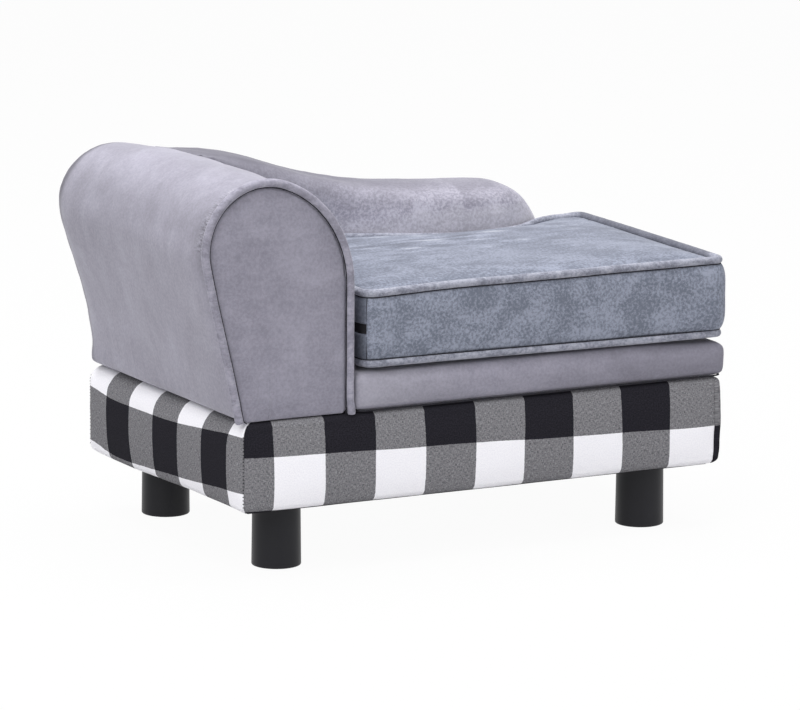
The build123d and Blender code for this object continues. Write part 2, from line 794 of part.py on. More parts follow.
def make_zip():
    """Coils, stops, slider and pull of the zip; the slider is parked at the rear."""
    tape_x = zip_tape_x
    middle = (cushion_low + cushion_high) / 2
    y0 = cushion_front + zip_end_inset
    y1 = cushion_rear - zip_end_inset
    chain_x = tape_x - zip_chain_depth
    half = zip_chain_width / 2
    gap = zip_coil_gap / 2
    coils = [
        block(chain_x, tape_x, y0, y1, middle - half, middle - gap),
        block(chain_x, tape_x, y0, y1, middle + gap, middle + half),
    ]
    stops = []
    for y in (y0 - zip_stop, y1):
        stops.append(block(chain_x, tape_x, y, y + zip_stop, middle - half, middle + half))
    slider_front = y1 - slider_park - slider_length
    slider_x = chain_x - fit_gap
    outer_x = slider_x - slider_depth / 2
    slider = block(
        outer_x, slider_x, slider_front, slider_front + slider_length,
        middle - slider_width / 2, middle + slider_width / 2,
    )
    slider = fillet(slider.edges().filter_by(Axis.X), slider_width / 4)
    pin_y = slider_front + slider_length / 2
    pin_x = outer_x - pull_eye_radius
    lug_z = pull_width / 2 + bridge_gap
    for z0 in (middle - lug_z - bridge_wall, middle + lug_z):
        slider += block(
            pin_x - pull_pin_radius, outer_x, pin_y - pull_eye_radius, pin_y + pull_eye_radius,
            z0, z0 + bridge_wall,
        )
    pin_end = lug_z + bridge_wall / 2
    slider += rod(pin_x, pin_y, middle - pin_end, middle + pin_end, pull_pin_radius)
    eye_radius = pull_eye_radius - fit_gap
    eye = rod(pin_x, pin_y, middle - pull_width / 2, middle + pull_width / 2, eye_radius)
    tab = block(
        pin_x - pull_thickness / 2, pin_x + pull_thickness / 2, pin_y, pin_y + pull_length,
        middle - pull_width / 2, middle + pull_width / 2,
    )
    tab = fillet(tab.edges().filter_by(Axis.X), pull_width / 4)
    bore = rod(pin_x, pin_y, cushion_low, cushion_high, pull_pin_radius + fit_gap)
    return {
        "zip_coils": joined(coils),
        "zip_stops": joined(stops),
        "zip_slider": slider,
        "zip_pull": eye + tab - bore,
    }


def build_parts():
    """Every node of the sofa by name."""
    parts = {}
    parts.update(make_base_frame())
    parts["base_padding"] = make_base_padding()
    parts.update(make_plaid_panels())
    parts["base_dust_cover"] = make_dust_cover()
    parts["cover_staples"] = make_staples()
    for name, place in leg_places().items():
        parts[name + "_leg"] = make_leg(*place)
    parts["leg_studs"] = make_studs()
    parts["leg_tee_nuts"] = make_tee_nuts()
    parts.update(make_deck())
    parts.update(make_arm())
    parts.update(make_back())
    parts.update(make_bolts())
    parts.update(make_cushion())
    parts.update(make_zip())
    return parts


def main():
    os.makedirs("parts", exist_ok=True)
    for name, shape in build_parts().items():
        export_step(shape, f"parts/{name}.step")


main()
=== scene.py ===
"""Looks of a small pet sofa: a rolled arm, a wave-topped back, a loose seat cushion and a plaid base."""

import logging
import math
from collections.abc import Callable, Sequence
from dataclasses import dataclass
from enum import Enum

import bmesh
import bpy
from mathutils import Matrix, Vector, noise


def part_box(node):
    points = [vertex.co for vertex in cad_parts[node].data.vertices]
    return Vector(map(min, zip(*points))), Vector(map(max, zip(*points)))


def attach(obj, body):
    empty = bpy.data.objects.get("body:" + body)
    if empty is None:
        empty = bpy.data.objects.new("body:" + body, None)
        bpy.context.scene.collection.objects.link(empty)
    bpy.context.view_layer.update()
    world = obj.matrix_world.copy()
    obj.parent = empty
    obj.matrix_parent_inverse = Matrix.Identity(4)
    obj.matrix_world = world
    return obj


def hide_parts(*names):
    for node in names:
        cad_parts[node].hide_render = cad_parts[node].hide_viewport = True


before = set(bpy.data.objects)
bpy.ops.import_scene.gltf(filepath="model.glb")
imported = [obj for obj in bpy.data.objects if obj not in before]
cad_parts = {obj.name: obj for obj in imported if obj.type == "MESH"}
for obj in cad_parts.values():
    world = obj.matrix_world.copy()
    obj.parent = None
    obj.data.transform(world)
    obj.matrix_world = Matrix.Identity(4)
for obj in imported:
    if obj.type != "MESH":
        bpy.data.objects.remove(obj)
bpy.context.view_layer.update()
LOG = logging.getLogger("pet_sofa")
MM = 0.001
PAINTED_LIGHT_AND_SHADE = "nap"
SOFA = "sofa"
CUSHION = "seat_cushion"
WELD = 0.01 * MM
PIPING_RADIUS = 4.25 * MM
BOW_ENDS = (126.25 * MM, 41.5 * MM)


class Slot(Enum):
    """Material slots of the record that the finishes stand for."""

    PLAID = "plaid_cotton"
    SOFA_PLUSH = "sofa_plush"
    SEAT_PLUSH = "seat_plush"
    PIPING = "piping_plush"
    NONWOVEN = "black_nonwoven"
    WADDING = "polyester_wadding"
    FOAM = "upholstery_foam"
    PLYWOOD = "plywood"
    LEG = "leg_plastic"
    ZIP_TAPE = "zip_polyester"
    ZIP_COIL = "zip_nylon"
    ZIP_METAL = "zip_metal"
    STEEL = "zinc_steel"


class Facing(Enum):
    """Planes in which an outline is drawn, with the axis that it is drawn through."""

    FRONT = "y"
    TOP = "z"


class Value:
    """A shader value that takes Python's operators."""

    def __init__(self, tree: bpy.types.NodeTree, socket: bpy.types.NodeSocket) -> None:
        """Keeps the socket and the tree that it is in."""
        self.tree = tree
        self.socket = socket

    def math(self, operation: str, *values: "Value | float") -> "Value":
        """Adds a Math node.

        Args:
            operation: The node's operation.
            values: What goes into its sockets, in order.

        Returns:
            The node's result.
        """
        node = self.tree.nodes.new("ShaderNodeMath")
        node.operation = operation
        for slot, value in zip(node.inputs, values):
            if isinstance(value, Value):
                self.tree.links.new(value.socket, slot)
            else:
                slot.default_value = value
        return Value(self.tree, node.outputs[0])

    def __add__(self, other: "Value | float") -> "Value":
        """Sum."""
        return self.math("ADD", self, other)

    def __radd__(self, other: float) -> "Value":
        """Sum with a number on the left."""
        return self.math("ADD", other, self)

    def __sub__(self, other: "Value | float") -> "Value":
        """Difference."""
        return self.math("SUBTRACT", self, other)

    def __rsub__(self, other: float) -> "Value":
        """Difference from a number."""
        return self.math("SUBTRACT", other, self)

    def __mul__(self, other: "Value | float") -> "Value":
        """Product."""
        return self.math("MULTIPLY", self, other)

    def __rmul__(self, other: float) -> "Value":
        """Product with a number on the left."""
        return self.math("MULTIPLY", other, self)

    def __truediv__(self, other: "Value | float") -> "Value":
        """Quotient."""
        return self.math("DIVIDE", self, other)

    def __mod__(self, other: "Value | float") -> "Value":
        """Remainder, never negative."""
        return self.math("FLOORED_MODULO", self, other)

    def __lt__(self, other: "Value | float") -> "Value":
        """One where the value is less, else zero."""
        return self.math("LESS_THAN", self, other)

    def __gt__(self, other: "Value | float") -> "Value":
        """One where the value is greater, else zero."""
        return self.math("GREATER_THAN", self, other)

    def sine(self) -> "Value":
        """Sine."""
        return self.math("SINE", self)

    def power(self, exponent: float) -> "Value":
        """Power."""
        return self.math("POWER", self, exponent)

    def fade(self, low: float, high: float) -> "Value":
        """Smooth step from zero at low to one at high."""
        node = self.tree.nodes.new("ShaderNodeMapRange")
        node.interpolation_type = "SMOOTHSTEP"
        node.inputs["From Min"].default_value = low
        node.inputs["From Max"].default_value = high
        self.tree.links.new(self.socket, node.inputs["Value"])
        return Value(self.tree, node.outputs["Result"])


def linear(code: str) -> tuple[float, float, float, float]:
    """Scene-linear colour of a hexadecimal screen colour.

    Args:
        code: Six hexadecimal digits.

    Returns:
        Red, green, blue and alpha.
    """
    parts = [int(code[i:i + 2], 16) / 255 for i in (0, 2, 4)]
    return (*[c / 12.92 if c <= 0.04045 else ((c + 0.055) / 1.055) ** 2.4 for c in parts], 1.0)


class Shader:
    """Node tree of one finish round its Principled shader."""

    def __init__(self, name: str, constants: dict[str, object]) -> None:
        """Makes the material and sets what is the same all over it.

        Args:
            name: The material's name.
            constants: Values of the shader's own sockets.
        """
        self.material = bpy.data.materials.new(name)
        self.material.use_nodes = True
        self.tree = self.material.node_tree
        self.surface = self.tree.nodes["Principled BSDF"]
        for socket, value in constants.items():
            self.surface.inputs[socket].default_value = value

    def add(self, kind: str, settings: dict[str, object], inputs: dict[object, object]) -> bpy.types.Node:
        """Adds a node.

        Args:
            kind: Its type, without the ShaderNode prefix.
            settings: Its own settings; stops are a ramp's positions and colours.
            inputs: Values or links of its sockets.

        Returns:
            The node.
        """
        node = self.tree.nodes.new("ShaderNode" + kind)
        for name, value in settings.items():
            if name == "stops":
                ramp = node.color_ramp.elements
                while len(ramp) < len(value):
                    ramp.new(1.0)
                for stop, (position, colour) in zip(ramp, value):
                    stop.position = position
                    stop.color = colour
            else:
                setattr(node, name, value)
        for name, value in inputs.items():
            if isinstance(value, Value):
                self.tree.links.new(value.socket, node.inputs[name])
            else:
                node.inputs[name].default_value = value
        return node

    def out(self, node: bpy.types.Node, name: str) -> Value:
        """A node's output as a value."""
        return Value(self.tree, node.outputs[name])

    def place(self, kind: str = "Object") -> Value:
        """Coordinates of the surface, from the object or from its UV map."""
        return self.out(self.add("TexCoord", {}, {}), kind)

    def stretched(self, place: Value, scale: tuple[float, float, float]) -> Value:
        """Coordinates scaled apart along each axis."""
        return self.out(self.add("Mapping", {}, {"Vector": place, "Scale": scale}), "Vector")

    def split(self, place: Value) -> tuple[Value, Value, Value]:
        """The three parts of a vector."""
        node = self.add("SeparateXYZ", {}, {"Vector": place})
        return self.out(node, "X"), self.out(node, "Y"), self.out(node, "Z")

    def join(self, x: Value, y: Value, z: Value | float) -> Value:
        """A vector of three values."""
        return self.out(self.add("CombineXYZ", {}, {"X": x, "Y": y, "Z": z}), "Vector")

    def noise(self, place: Value, scale: float, detail: float = 3.0, rough: float = 0.5,
              bend: float = 0.0) -> Value:
        """Cloudy noise.

        Args:
            place: Coordinates.
            scale: Clouds per metre.
            detail: Octaves.
            rough: Share of each finer octave.
            bend: Distortion.

        Returns:
            Values about a half.
        """
        inputs = {"Vector": place, "Scale": scale, "Detail": detail, "Roughness": rough, "Distortion": bend}
        return self.out(self.add("TexNoise", {}, inputs), "Fac")

    def mix(self, share: Value | float, first: object, second: object) -> Value:
        """Colour between two colours."""
        node = self.add("Mix", {"data_type": "RGBA"}, {0: share, 6: first, 7: second})
        return Value(self.tree, node.outputs[2])

    def relief(self, height: Value, depth: float, strength: float = 1.0) -> None:
        """Bumps the surface.

        Args:
            height: Height from zero to one.
            depth: Real height of one, in metres.
            strength: Share of the effect.
        """
        node = self.add("Bump", {}, {"Height": height, "Distance": depth, "Strength": strength})
        self.feed("Normal", self.out(node, "Normal"))

    def feed(self, socket: str, value: Value) -> None:
        """Links a value to the shader."""
        self.tree.links.new(value.socket, self.surface.inputs[socket])


@dataclass(frozen=True)
class Gathers:
    """Fine puckers of cloth drawn in at the piping round the arm's roll; their height bumps the surface and also
    paints their shade and light into the colour.
    """

    roll: tuple[float, float]
    radius: float
    front: float
    reach: float = 24 * MM
    width: float = 2.1 * MM
    length: float = 9 * MM
    depth: float = 3.0 * MM
    # Strength of the puckers' painted shade and light.
    tone: float = 5.0
    crown: tuple[float, float] = (1.5, 2.2)

    def height(self, shader: Shader, place: Value) -> Value:
        """Height of the puckers, about zero.

        Args:
            shader: The shader that they are for.
            place: Object coordinates.

        Returns:
            The height.
        """
        across, deep, up = shader.split(place)
        turn = (up - self.roll[1]).math("ARCTAN2", up - self.roll[1], across - self.roll[0])
        behind = deep - self.front
        cloth = shader.join(turn * (self.radius / self.width), behind / self.length, 0.0)
        folds = shader.noise(cloth, 1.0, 2.0, 0.6)
        left = self.reach - behind
        fade = left.math("MAXIMUM", left, 0.0) / self.reach
        return (folds - 0.5) * fade * turn.fade(*self.crown)


@dataclass(frozen=True)
class Plush:
    """Short velvet pile with lighter and darker patches at random, and painted light and shade from a per-point
    attribute.
    """

    name: str
    light: str
    dark: str
    brush: float = 15.0
    contrast: tuple[float, float] = (0.36, 0.66)
    sheen: float = 0.4
    haze: str = "f4f3fa"
    speckle: float = 0.2
    strokes: tuple[float, float, float] = (0.5, 0.5, 1.6)
    gathers: Gathers | None = None
    fibre_scale: float = 330.0
    pile_scale: float = 1100.0
    patch_share: float = 0.62
    shadow: str = "1c1b22"
    deepest: float = 0.55
    brightest: float = 0.4
    rough: float = 0.72
    relief: float = 0.5 * MM

    def make(self) -> bpy.types.Material:
        """The finish's material."""
        shader = Shader(self.name, {
            "Sheen Weight": self.sheen, "Sheen Roughness": 0.35, "Specular IOR Level": 0.1,
            "Sheen Tint": linear(self.haze),
        })
        place = shader.place()
        patches = shader.noise(place, self.brush, 5.0, 0.62, 1.2)
        strokes = shader.noise(shader.stretched(place, self.strokes), self.brush * 4, 3.0, 0.6, 0.6)
        fibres = shader.noise(place, self.fibre_scale, 2.0, 0.7)
        lift = patches * self.patch_share + strokes * (1 - self.patch_share)
        # Painted light and shade, stored on each point of the piece.
        nap = shader.out(shader.add("Attribute", {"attribute_name": PAINTED_LIGHT_AND_SHADE}, {}), "Fac")
        grain = (fibres.fade(0.3, 0.7) - 0.5) * (2 * self.speckle)
        share = lift.fade(*self.contrast) + grain
        # The puckers also add painted shade and light to the colour.
        if self.gathers:
            nap = nap + self.gathers.height(shader, place) * self.gathers.tone
        # Painted light and shade: below zero the colour goes towards the shadow colour, above zero towards white.
        deep = shader.mix(self.deepest, linear(self.dark), linear(self.shadow))
        bright = shader.mix(self.brightest, linear(self.light), linear("ffffff"))
        base = shader.mix(share, linear(self.dark), linear(self.light))
        base = shader.mix(nap * -1.0, base, deep)
        shader.feed("Base Color", shader.mix(nap, base, bright))
        shader.feed("Roughness", lift * 0.2 + self.rough)
        pile = shader.noise(place, self.pile_scale, 2.0, 0.6)
        height = fibres * 0.6 + pile * 0.25 + strokes * 0.6
        if self.gathers:
            height = height + self.gathers.height(shader, place) * (self.gathers.depth / self.relief)
        shader.relief(height, self.relief, 0.5)
        return shader.material


@dataclass(frozen=True)
class Plaid:
    """Buffalo check woven from black and white yarns, on a UV map in metres."""

    name: str
    square: float = 57.2 * MM
    yarn: float = 0.7 * MM
    crossed_share: float = 0.8
    heather: float = 0.55
    drift: float = 5 * MM
    fray: float = 0.7 * MM
    relief: float = 0.25 * MM
    blacks: tuple[str, str] = ("1b1a1f", "2b2a31")
    whites: tuple[str, str] = ("e4e3ea", "f2f1f5")

    def make(self) -> bpy.types.Material:
        """The finish's material."""
        shader = Shader(self.name, {"Specular IOR Level": 0.05})
        place = shader.place("UV")
        across, along, _ = shader.split(place)
        drift = (shader.noise(place, 9.0, 1.0) - 0.5) * self.drift
        edge = (shader.noise(place, 260.0, 1.0) - 0.5) * self.fray
        column = self.dyed(across + drift + edge)
        row = self.dyed(along + drift * 0.6 + edge)
        warp = shader.noise(shader.stretched(place, (1.0, 0.22, 1.0)), 1 / self.yarn, 2.0, 0.7)
        weft = shader.noise(shader.stretched(place, (0.22, 1.0, 1.0)), 1 / self.yarn, 2.0, 0.7)
        both = column * row
        crossed = column + row - both * 2.0
        turns = math.tau / self.yarn
        weave = ((across * turns).sine() * (along * turns).sine()) * 0.5 + 0.5
        heather = (warp + weft - 1.0) * self.heather + self.crossed_share
        dark = both + crossed * heather
        slub = shader.noise(place, 700.0, 2.0, 0.6)
        black = shader.mix(slub.fade(0.3, 0.75), *map(linear, self.blacks))
        white = shader.mix(slub.fade(0.2, 0.8), *map(linear, self.whites))
        shader.feed("Base Color", shader.mix(dark, white, black))
        shader.feed("Roughness", slub * 0.2 + 0.75)
        shader.relief(weave * 0.7 + slub * 0.3, self.relief, 0.4)
        return shader.material

    def dyed(self, place: Value) -> Value:
        """One where the yarn is black, zero where it is white, in stripes as wide as a square."""
        return (place / (2 * self.square)) % 1.0 > 0.5


@dataclass(frozen=True)
class Plastic:
    """Satin moulded plastic with faint mould texture."""

    name: str
    colour: str
    rough: float = 0.42
    shade: float = 0.8
    relief: float = 0.06 * MM

    def make(self) -> bpy.types.Material:
        """The finish's material."""
        shader = Shader(self.name, {"Specular IOR Level": 0.22, "Coat Weight": 0.05, "Coat Roughness": 0.35})
        place = shader.place()
        cloud = shader.noise(place, 24.0, 4.0, 0.6)
        dark = [part * self.shade for part in linear(self.colour)[:3]] + [1.0]
        shader.feed("Base Color", shader.mix(cloud, dark, linear(self.colour)))
        scuffs = shader.noise(shader.stretched(place, (1.0, 1.0, 0.3)), 60.0, 4.0, 0.7)
        shader.feed("Roughness", scuffs * 0.16 + (self.rough - 0.08))
        shader.relief(shader.noise(place, 900.0, 2.0), self.relief, 0.5)
        return shader.material


@dataclass(frozen=True)
class Grained:
    """Plain material with a directional grain, for wood, foam, sheet and metal."""

    name: str
    light: str
    dark: str
    scale: float
    stretch: tuple[float, float, float] = (1.0, 1.0, 1.0)
    rough: float = 0.7
    metal: float = 0.0
    depth: float = 0.1 * MM

    def make(self) -> bpy.types.Material:
        """The finish's material."""
        shader = Shader(self.name, {"Metallic": self.metal, "Specular IOR Level": 0.3})
        place = shader.stretched(shader.place(), self.stretch)
        grain = shader.noise(place, self.scale, 4.0, 0.6, 0.5)
        shader.feed("Base Color", shader.mix(grain.fade(0.3, 0.7), linear(self.dark), linear(self.light)))
        shader.feed("Roughness", grain * 0.2 + (self.rough - 0.1))
        shader.relief(grain, self.depth, 0.5)
        return shader.material


def finishes() -> dict[Slot, bpy.types.Material]:
    """Every finish by the slot that it stands for."""
    looks = {
        Slot.PLAID: Plaid("buffalo_plaid"),
        Slot.SOFA_PLUSH: Plush("grey_plush", "9593a0", "7b7985", brush=12.0, contrast=(0.2, 0.85)),
        Slot.SEAT_PLUSH: Plush("blue_grey_plush", "8b909f", "666b78", brush=17.0, contrast=(0.3, 0.72),
                               sheen=0.25, speckle=0.5, strokes=(0.4, 1.5, 1.0)),
        Slot.PIPING: Plush("piping_plush", "9a98a5", "7b7985", brush=30.0),
        Slot.NONWOVEN: Grained("black_nonwoven", "242328", "17161a", 240.0, rough=0.9),
        Slot.WADDING: Grained("white_wadding", "ecebe8", "d6d4d0", 60.0, rough=0.95),
        Slot.FOAM: Grained("seat_foam", "e9dfc2", "d9cca8", 900.0, rough=0.95),
        Slot.PLYWOOD: Grained("poplar_plywood", "d9b98a", "b8925c", 30.0, stretch=(0.12, 1.0, 1.0)),
        Slot.LEG: Plastic("black_leg_plastic", "1e1e23"),
        Slot.ZIP_TAPE: Grained("zip_tape_weave", "1c1b20", "121115", 1200.0,
                               stretch=(1.0, 0.3, 1.0), rough=0.85),
        Slot.ZIP_COIL: Plastic("zip_coil_nylon", "17161a", rough=0.4),
        Slot.ZIP_METAL: Grained("blackened_zip_metal", "3b3b40", "2a2a2e", 300.0, rough=0.4, metal=0.9),
        Slot.STEEL: Grained("zinc_plated_steel", "b9bbbd", "8f9194", 200.0, rough=0.4, metal=1.0),
    }
    return {slot: look.make() for slot, look in looks.items()}


def arc(centre: Vector, radius: float, start: float, end: float, count: int = 24) -> list[Vector]:
    """Points along a flat arc.

    Args:
        centre: Centre of the arc.
        radius: Its radius.
        start: First angle in radians.
        end: Last angle.
        count: Steps.

    Returns:
        The points, both ends included.
    """
    turns = [start + (end - start) * i / count for i in range(count + 1)]
    return [centre + radius * Vector((math.cos(turn), math.sin(turn))) for turn in turns]


def rounded(before: Vector, corner: Vector, after: Vector, radius: float) -> list[Vector]:
    """Arc that rounds a corner between two straight runs.

    Args:
        before: A point on the run that comes in.
        corner: The corner.
        after: A point on the run that goes out.
        radius: The arc's radius.

    Returns:
        The arc's points.
    """
    inward = (before - corner).normalized()
    outward = (after - corner).normalized()
    half = inward.angle(outward) / 2
    centre = corner + (inward + outward).normalized() * (radius / math.sin(half))
    first = corner + inward * (radius / math.tan(half)) - centre
    last = corner + outward * (radius / math.tan(half)) - centre
    start = math.atan2(first.y, first.x)
    turn = (math.atan2(last.y, last.x) - start + math.pi) % math.tau - math.pi
    return arc(centre, radius, start, start + turn, 8)


def even(points: Sequence[Vector], spacing: float, closed: bool) -> list[Vector]:
    """Points at even steps along a line.

    Args:
        points: The line's points.
        spacing: Wanted distance between points.
        closed: Whether the line closes.

    Returns:
        The evenly spaced points.
    """
    line = list(points) + ([points[0]] if closed else [])
    lengths = [0.0]
    for first, second in zip(line, line[1:]):
        lengths.append(lengths[-1] + (second - first).length)
    count = max(3, round(lengths[-1] / spacing))
    made = []
    at = 0
    for i in range(count if closed else count + 1):
        goal = lengths[-1] * i / count
        while at < len(lengths) - 2 and lengths[at + 1] < goal:
            at += 1
        span = max(lengths[at + 1] - lengths[at], 1e-9)
        made.append(line[at].lerp(line[at + 1], (goal - lengths[at]) / span))
    return made


def in_space(point: Vector, depth: float, facing: Facing) -> Vector:
    """A point of a flat outline, put at its depth in space."""
    if facing is Facing.FRONT:
        return Vector((point.x, depth, point.y))
    return Vector((point.x, point.y, depth))


def finished(bm: bmesh.types.BMesh, name: str) -> bpy.types.Object:
    """Turns a bmesh into an object at the origin.

    Args:
        bm: The bmesh, which is freed.
        name: The object's name.

    Returns:
        The object, smoothly shaded.
    """
    bmesh.ops.remove_doubles(bm, verts=bm.verts, dist=WELD)
    bmesh.ops.recalc_face_normals(bm, faces=bm.faces)
    for face in bm.faces:
        face.smooth = True
    mesh = bpy.data.meshes.new(name)
    bm.to_mesh(mesh)
    bm.free()
    piece = bpy.data.objects.new(name, mesh)
    bpy.context.scene.collection.objects.link(piece)
    return piece


def cut_across(bm: bmesh.types.BMesh, place: Vector, normal: Vector) -> None:
    """Cuts every face of a bmesh along a plane."""
    bmesh.ops.bisect_plane(bm, geom=bm.verts[:] + bm.edges[:] + bm.faces[:], dist=WELD,
                           plane_co=place, plane_no=normal)


def cut_even(bm: bmesh.types.BMesh, low: Vector, high: Vector, axis: int, count: int) -> None:
    """Cuts a bmesh across one axis into parts of the same length.

    Args:
        bm: The bmesh.
        low: Its lowest corner.
        high: Its highest corner.
        axis: Number of the axis.
        count: Parts.
    """
    normal = Vector([1.0 if i == axis else 0.0 for i in range(3)])
    for i in range(1, count):
        place = low.copy()
        place[axis] += (high[axis] - low[axis]) * i / count
        cut_across(bm, place, normal)


def drawn_through(outline: Sequence[Vector], start: float, end: float, facing: Facing,
                  rims: tuple[float, float] = (0.0, 0.0)) -> bmesh.types.BMesh:
    """Closed body of an outline drawn from one depth to another.

    Args:
        outline: The closed outline.
        start: First depth.
        end: Last depth.
        facing: The outline's plane.
        rims: Rounding of the rim at each depth.

    Returns:
        The body.
    """
    bm = bmesh.new()
    ring = [bm.verts.new(in_space(point, start, facing)) for point in outline]
    cap = bm.faces.new(ring)
    made = bmesh.ops.extrude_face_region(bm, geom=[cap], use_keep_orig=True)["geom"]
    moved = [item for item in made if isinstance(item, bmesh.types.BMVert)]
    bmesh.ops.translate(bm, verts=moved, vec=in_space(Vector((0, 0)), end - start, facing))
    bmesh.ops.recalc_face_normals(bm, faces=bm.faces)
    far = next(item for item in made if isinstance(item, bmesh.types.BMFace))
    rim_edges = [list(cap.edges), list(far.edges)]
    for edges, rim in zip(rim_edges, rims):
        if rim:
            bmesh.ops.bevel(
                bm, geom=edges, offset=rim, offset_type="OFFSET", segments=5, profile=0.5,
                affect="EDGES", material=-1, clamp_overlap=False,
            )
    return bm


def settled(piece: bpy.types.Object) -> None:
    """Applies every modifier of a piece to its mesh."""
    shape = piece.evaluated_get(bpy.context.evaluated_depsgraph_get())
    mesh = bpy.data.meshes.new_from_object(shape)
    piece.modifiers.clear()
    old = piece.data
    piece.data = mesh
    mesh.name = piece.name
    bpy.data.meshes.remove(old)
    for polygon in mesh.polygons:
        polygon.use_smooth = True


def remeshed(piece: bpy.types.Object, size: float) -> None:
    """Rebuilds a closed piece from even small faces."""
    voxels = piece.modifiers.new("voxels", "REMESH")
    voxels.mode = "VOXEL"
    voxels.voxel_size = size
    settled(piece)


def reshape(piece: bpy.types.Object, change: Callable[[Vector, Vector], Vector]) -> None:
    """Moves each vertex of a piece.

    Args:
        piece: The piece.
        change: Gives the new place from the old one and its normal.
    """
    normals = [v.normal.copy() for v in piece.data.vertices]
    for vertex, normal in zip(piece.data.vertices, normals):
        vertex.co = change(vertex.co.copy(), normal)
    piece.data.update()


def paint_light_and_shade(piece: bpy.types.Object, nap: Callable[[Vector], float]) -> None:
    """Stores painted light and shade on a piece's points, from -1 where it is painted darkest to 1 where it is
    painted lightest.
    """
    layer = piece.data.attributes.new(PAINTED_LIGHT_AND_SHADE, "FLOAT", "POINT")
    for i, vertex in enumerate(piece.data.vertices):
        layer.data[i].value = nap(vertex.co)


def smoothed(piece: bpy.types.Object, times: int = 2) -> None:
    """Evens out a mesh a little."""
    bm = bmesh.new()
    bm.from_mesh(piece.data)
    for _ in range(times):
        bmesh.ops.smooth_vert(bm, verts=bm.verts, factor=0.5,
                              use_axis_x=True, use_axis_y=True, use_axis_z=True)
    bm.to_mesh(piece.data)
    bm.free()


def rounder(piece: bpy.types.Object) -> None:
    """Adds one level of subdivision."""
    surface = piece.modifiers.new("rounder", "SUBSURF")
    surface.levels = 1
    surface.render_levels = 1


@dataclass(frozen=True)
class Filling:
    """How hard a padded piece is filled and how far its cloth may move."""

    pressure: float = 4.0
    reach: float = 6 * MM
    frames: int = 20
    stiffness: float = 0.5
    bending: float = 0.01
    vertex_mass: float = 0.001
    quality: int = 4
    damping: float = 1.0
    air_damping: float = 0.2

    def puff(self, piece: bpy.types.Object, held: Callable[[Vector], bool]) -> None:
        """Blows up a piece as cloth, with some of it held.

        Args:
            piece: The piece.
            held: Tells which points are sewn or nailed down.
        """
        scene = bpy.context.scene
        rest = [v.co.copy() for v in piece.data.vertices]
        group = piece.vertex_groups.new(name="held")
        group.add([i for i, co in enumerate(rest) if held(co)], 1.0, "REPLACE")
        cloth = piece.modifiers.new("cloth", "CLOTH")
        cloth.settings.effector_weights.gravity = 0
        settings = {
            "vertex_group_mass": group.name,
            "use_pressure": True,
            "uniform_pressure_force": self.pressure,
            "quality": self.quality,
            "tension_stiffness": self.stiffness,
            "compression_stiffness": self.stiffness,
            "shear_stiffness": self.stiffness,
            "bending_stiffness": self.bending,
            "mass": self.vertex_mass,
            "air_damping": self.air_damping,
            "tension_damping": self.damping,
            "compression_damping": self.damping,
        }
        for name, value in settings.items():
            setattr(cloth.settings, name, value)
        cloth.point_cache.frame_start = 1
        cloth.point_cache.frame_end = self.frames
        for moment in range(1, self.frames + 1):
            scene.frame_set(moment)
        shape = piece.evaluated_get(bpy.context.evaluated_depsgraph_get()).to_mesh()
        blown = [v.co.copy() for v in shape.vertices]
        piece.modifiers.remove(cloth)
        piece.vertex_groups.remove(group)
        for vertex, old, new in zip(piece.data.vertices, rest, blown):
            move = new - old
            if move.length > 0:
                vertex.co = old + move.normalized() * self.reach * math.tanh(move.length / self.reach)
        piece.data.update()
        scene.frame_set(1)


def height_of(line: Sequence[Vector], x: float) -> float:
    """Height of a line at a place along it."""
    return min(line, key=lambda point: abs(point.x - x)).y


def tube(name: str, path: Sequence[Vector], radius: float, closed: bool, sides: int = 12,
         uneven: float = 0.25 * MM) -> bpy.types.Object:
    """Piping: a soft tube along a line, a little uneven where its cloth is gathered.

    Args:
        name: The piece's name.
        path: Points along its middle.
        radius: Its radius.
        closed: Whether it closes into a ring.
        sides: Corners of its section.
        uneven: How far its surface wanders.

    Returns:
        The piece.
    """
    bm = bmesh.new()
    count = len(path)
    rings = []
    flat = bmesh.ops.create_circle(bm, segments=sides, radius=radius)["verts"]
    shape = [v.co.copy() for v in flat]
    bmesh.ops.delete(bm, geom=flat, context="VERTS")
    side = None
    for i, point in enumerate(path):
        after = path[(i + 1) % count] if closed or i < count - 1 else point
        before = path[i - 1] if closed or i > 0 else point
        ahead = (after - before).normalized()
        if side is None:
            side = ahead.orthogonal().normalized()
        side = (side - ahead * side.dot(ahead)).normalized()
        third = ahead.cross(side)
        ring = []
        for co in shape:
            place = point + side * co.x + third * co.y
            off = (place - point) / radius * uneven * noise.noise(place / (7 * MM))
            ring.append(bm.verts.new(place + off))
        rings.append(ring)
    loops = [[bm.edges.new((ring[k], ring[(k + 1) % sides])) for k in range(sides)] for ring in rings]
    if closed:
        twist = nearest_turn(rings[-1], rings[0])
        rings.append(rings[0][twist:] + rings[0][:twist])
        loops.append(loops[0])
    for first, second in zip(rings, rings[1:]):
        for k in range(sides):
            bm.faces.new((first[k], first[(k + 1) % sides], second[(k + 1) % sides], second[k]))
    if not closed:
        bmesh.ops.holes_fill(bm, edges=loops[0] + loops[-1], sides=sides)
    piece = finished(bm, name)
    rounder(piece)
    return piece


def nearest_turn(ring: Sequence[bmesh.types.BMVert], other: Sequence[bmesh.types.BMVert]) -> int:
    """How far a ring is turned against the next one."""
    return min(range(len(other)), key=lambda turn: (other[turn].co - ring[0].co).length)


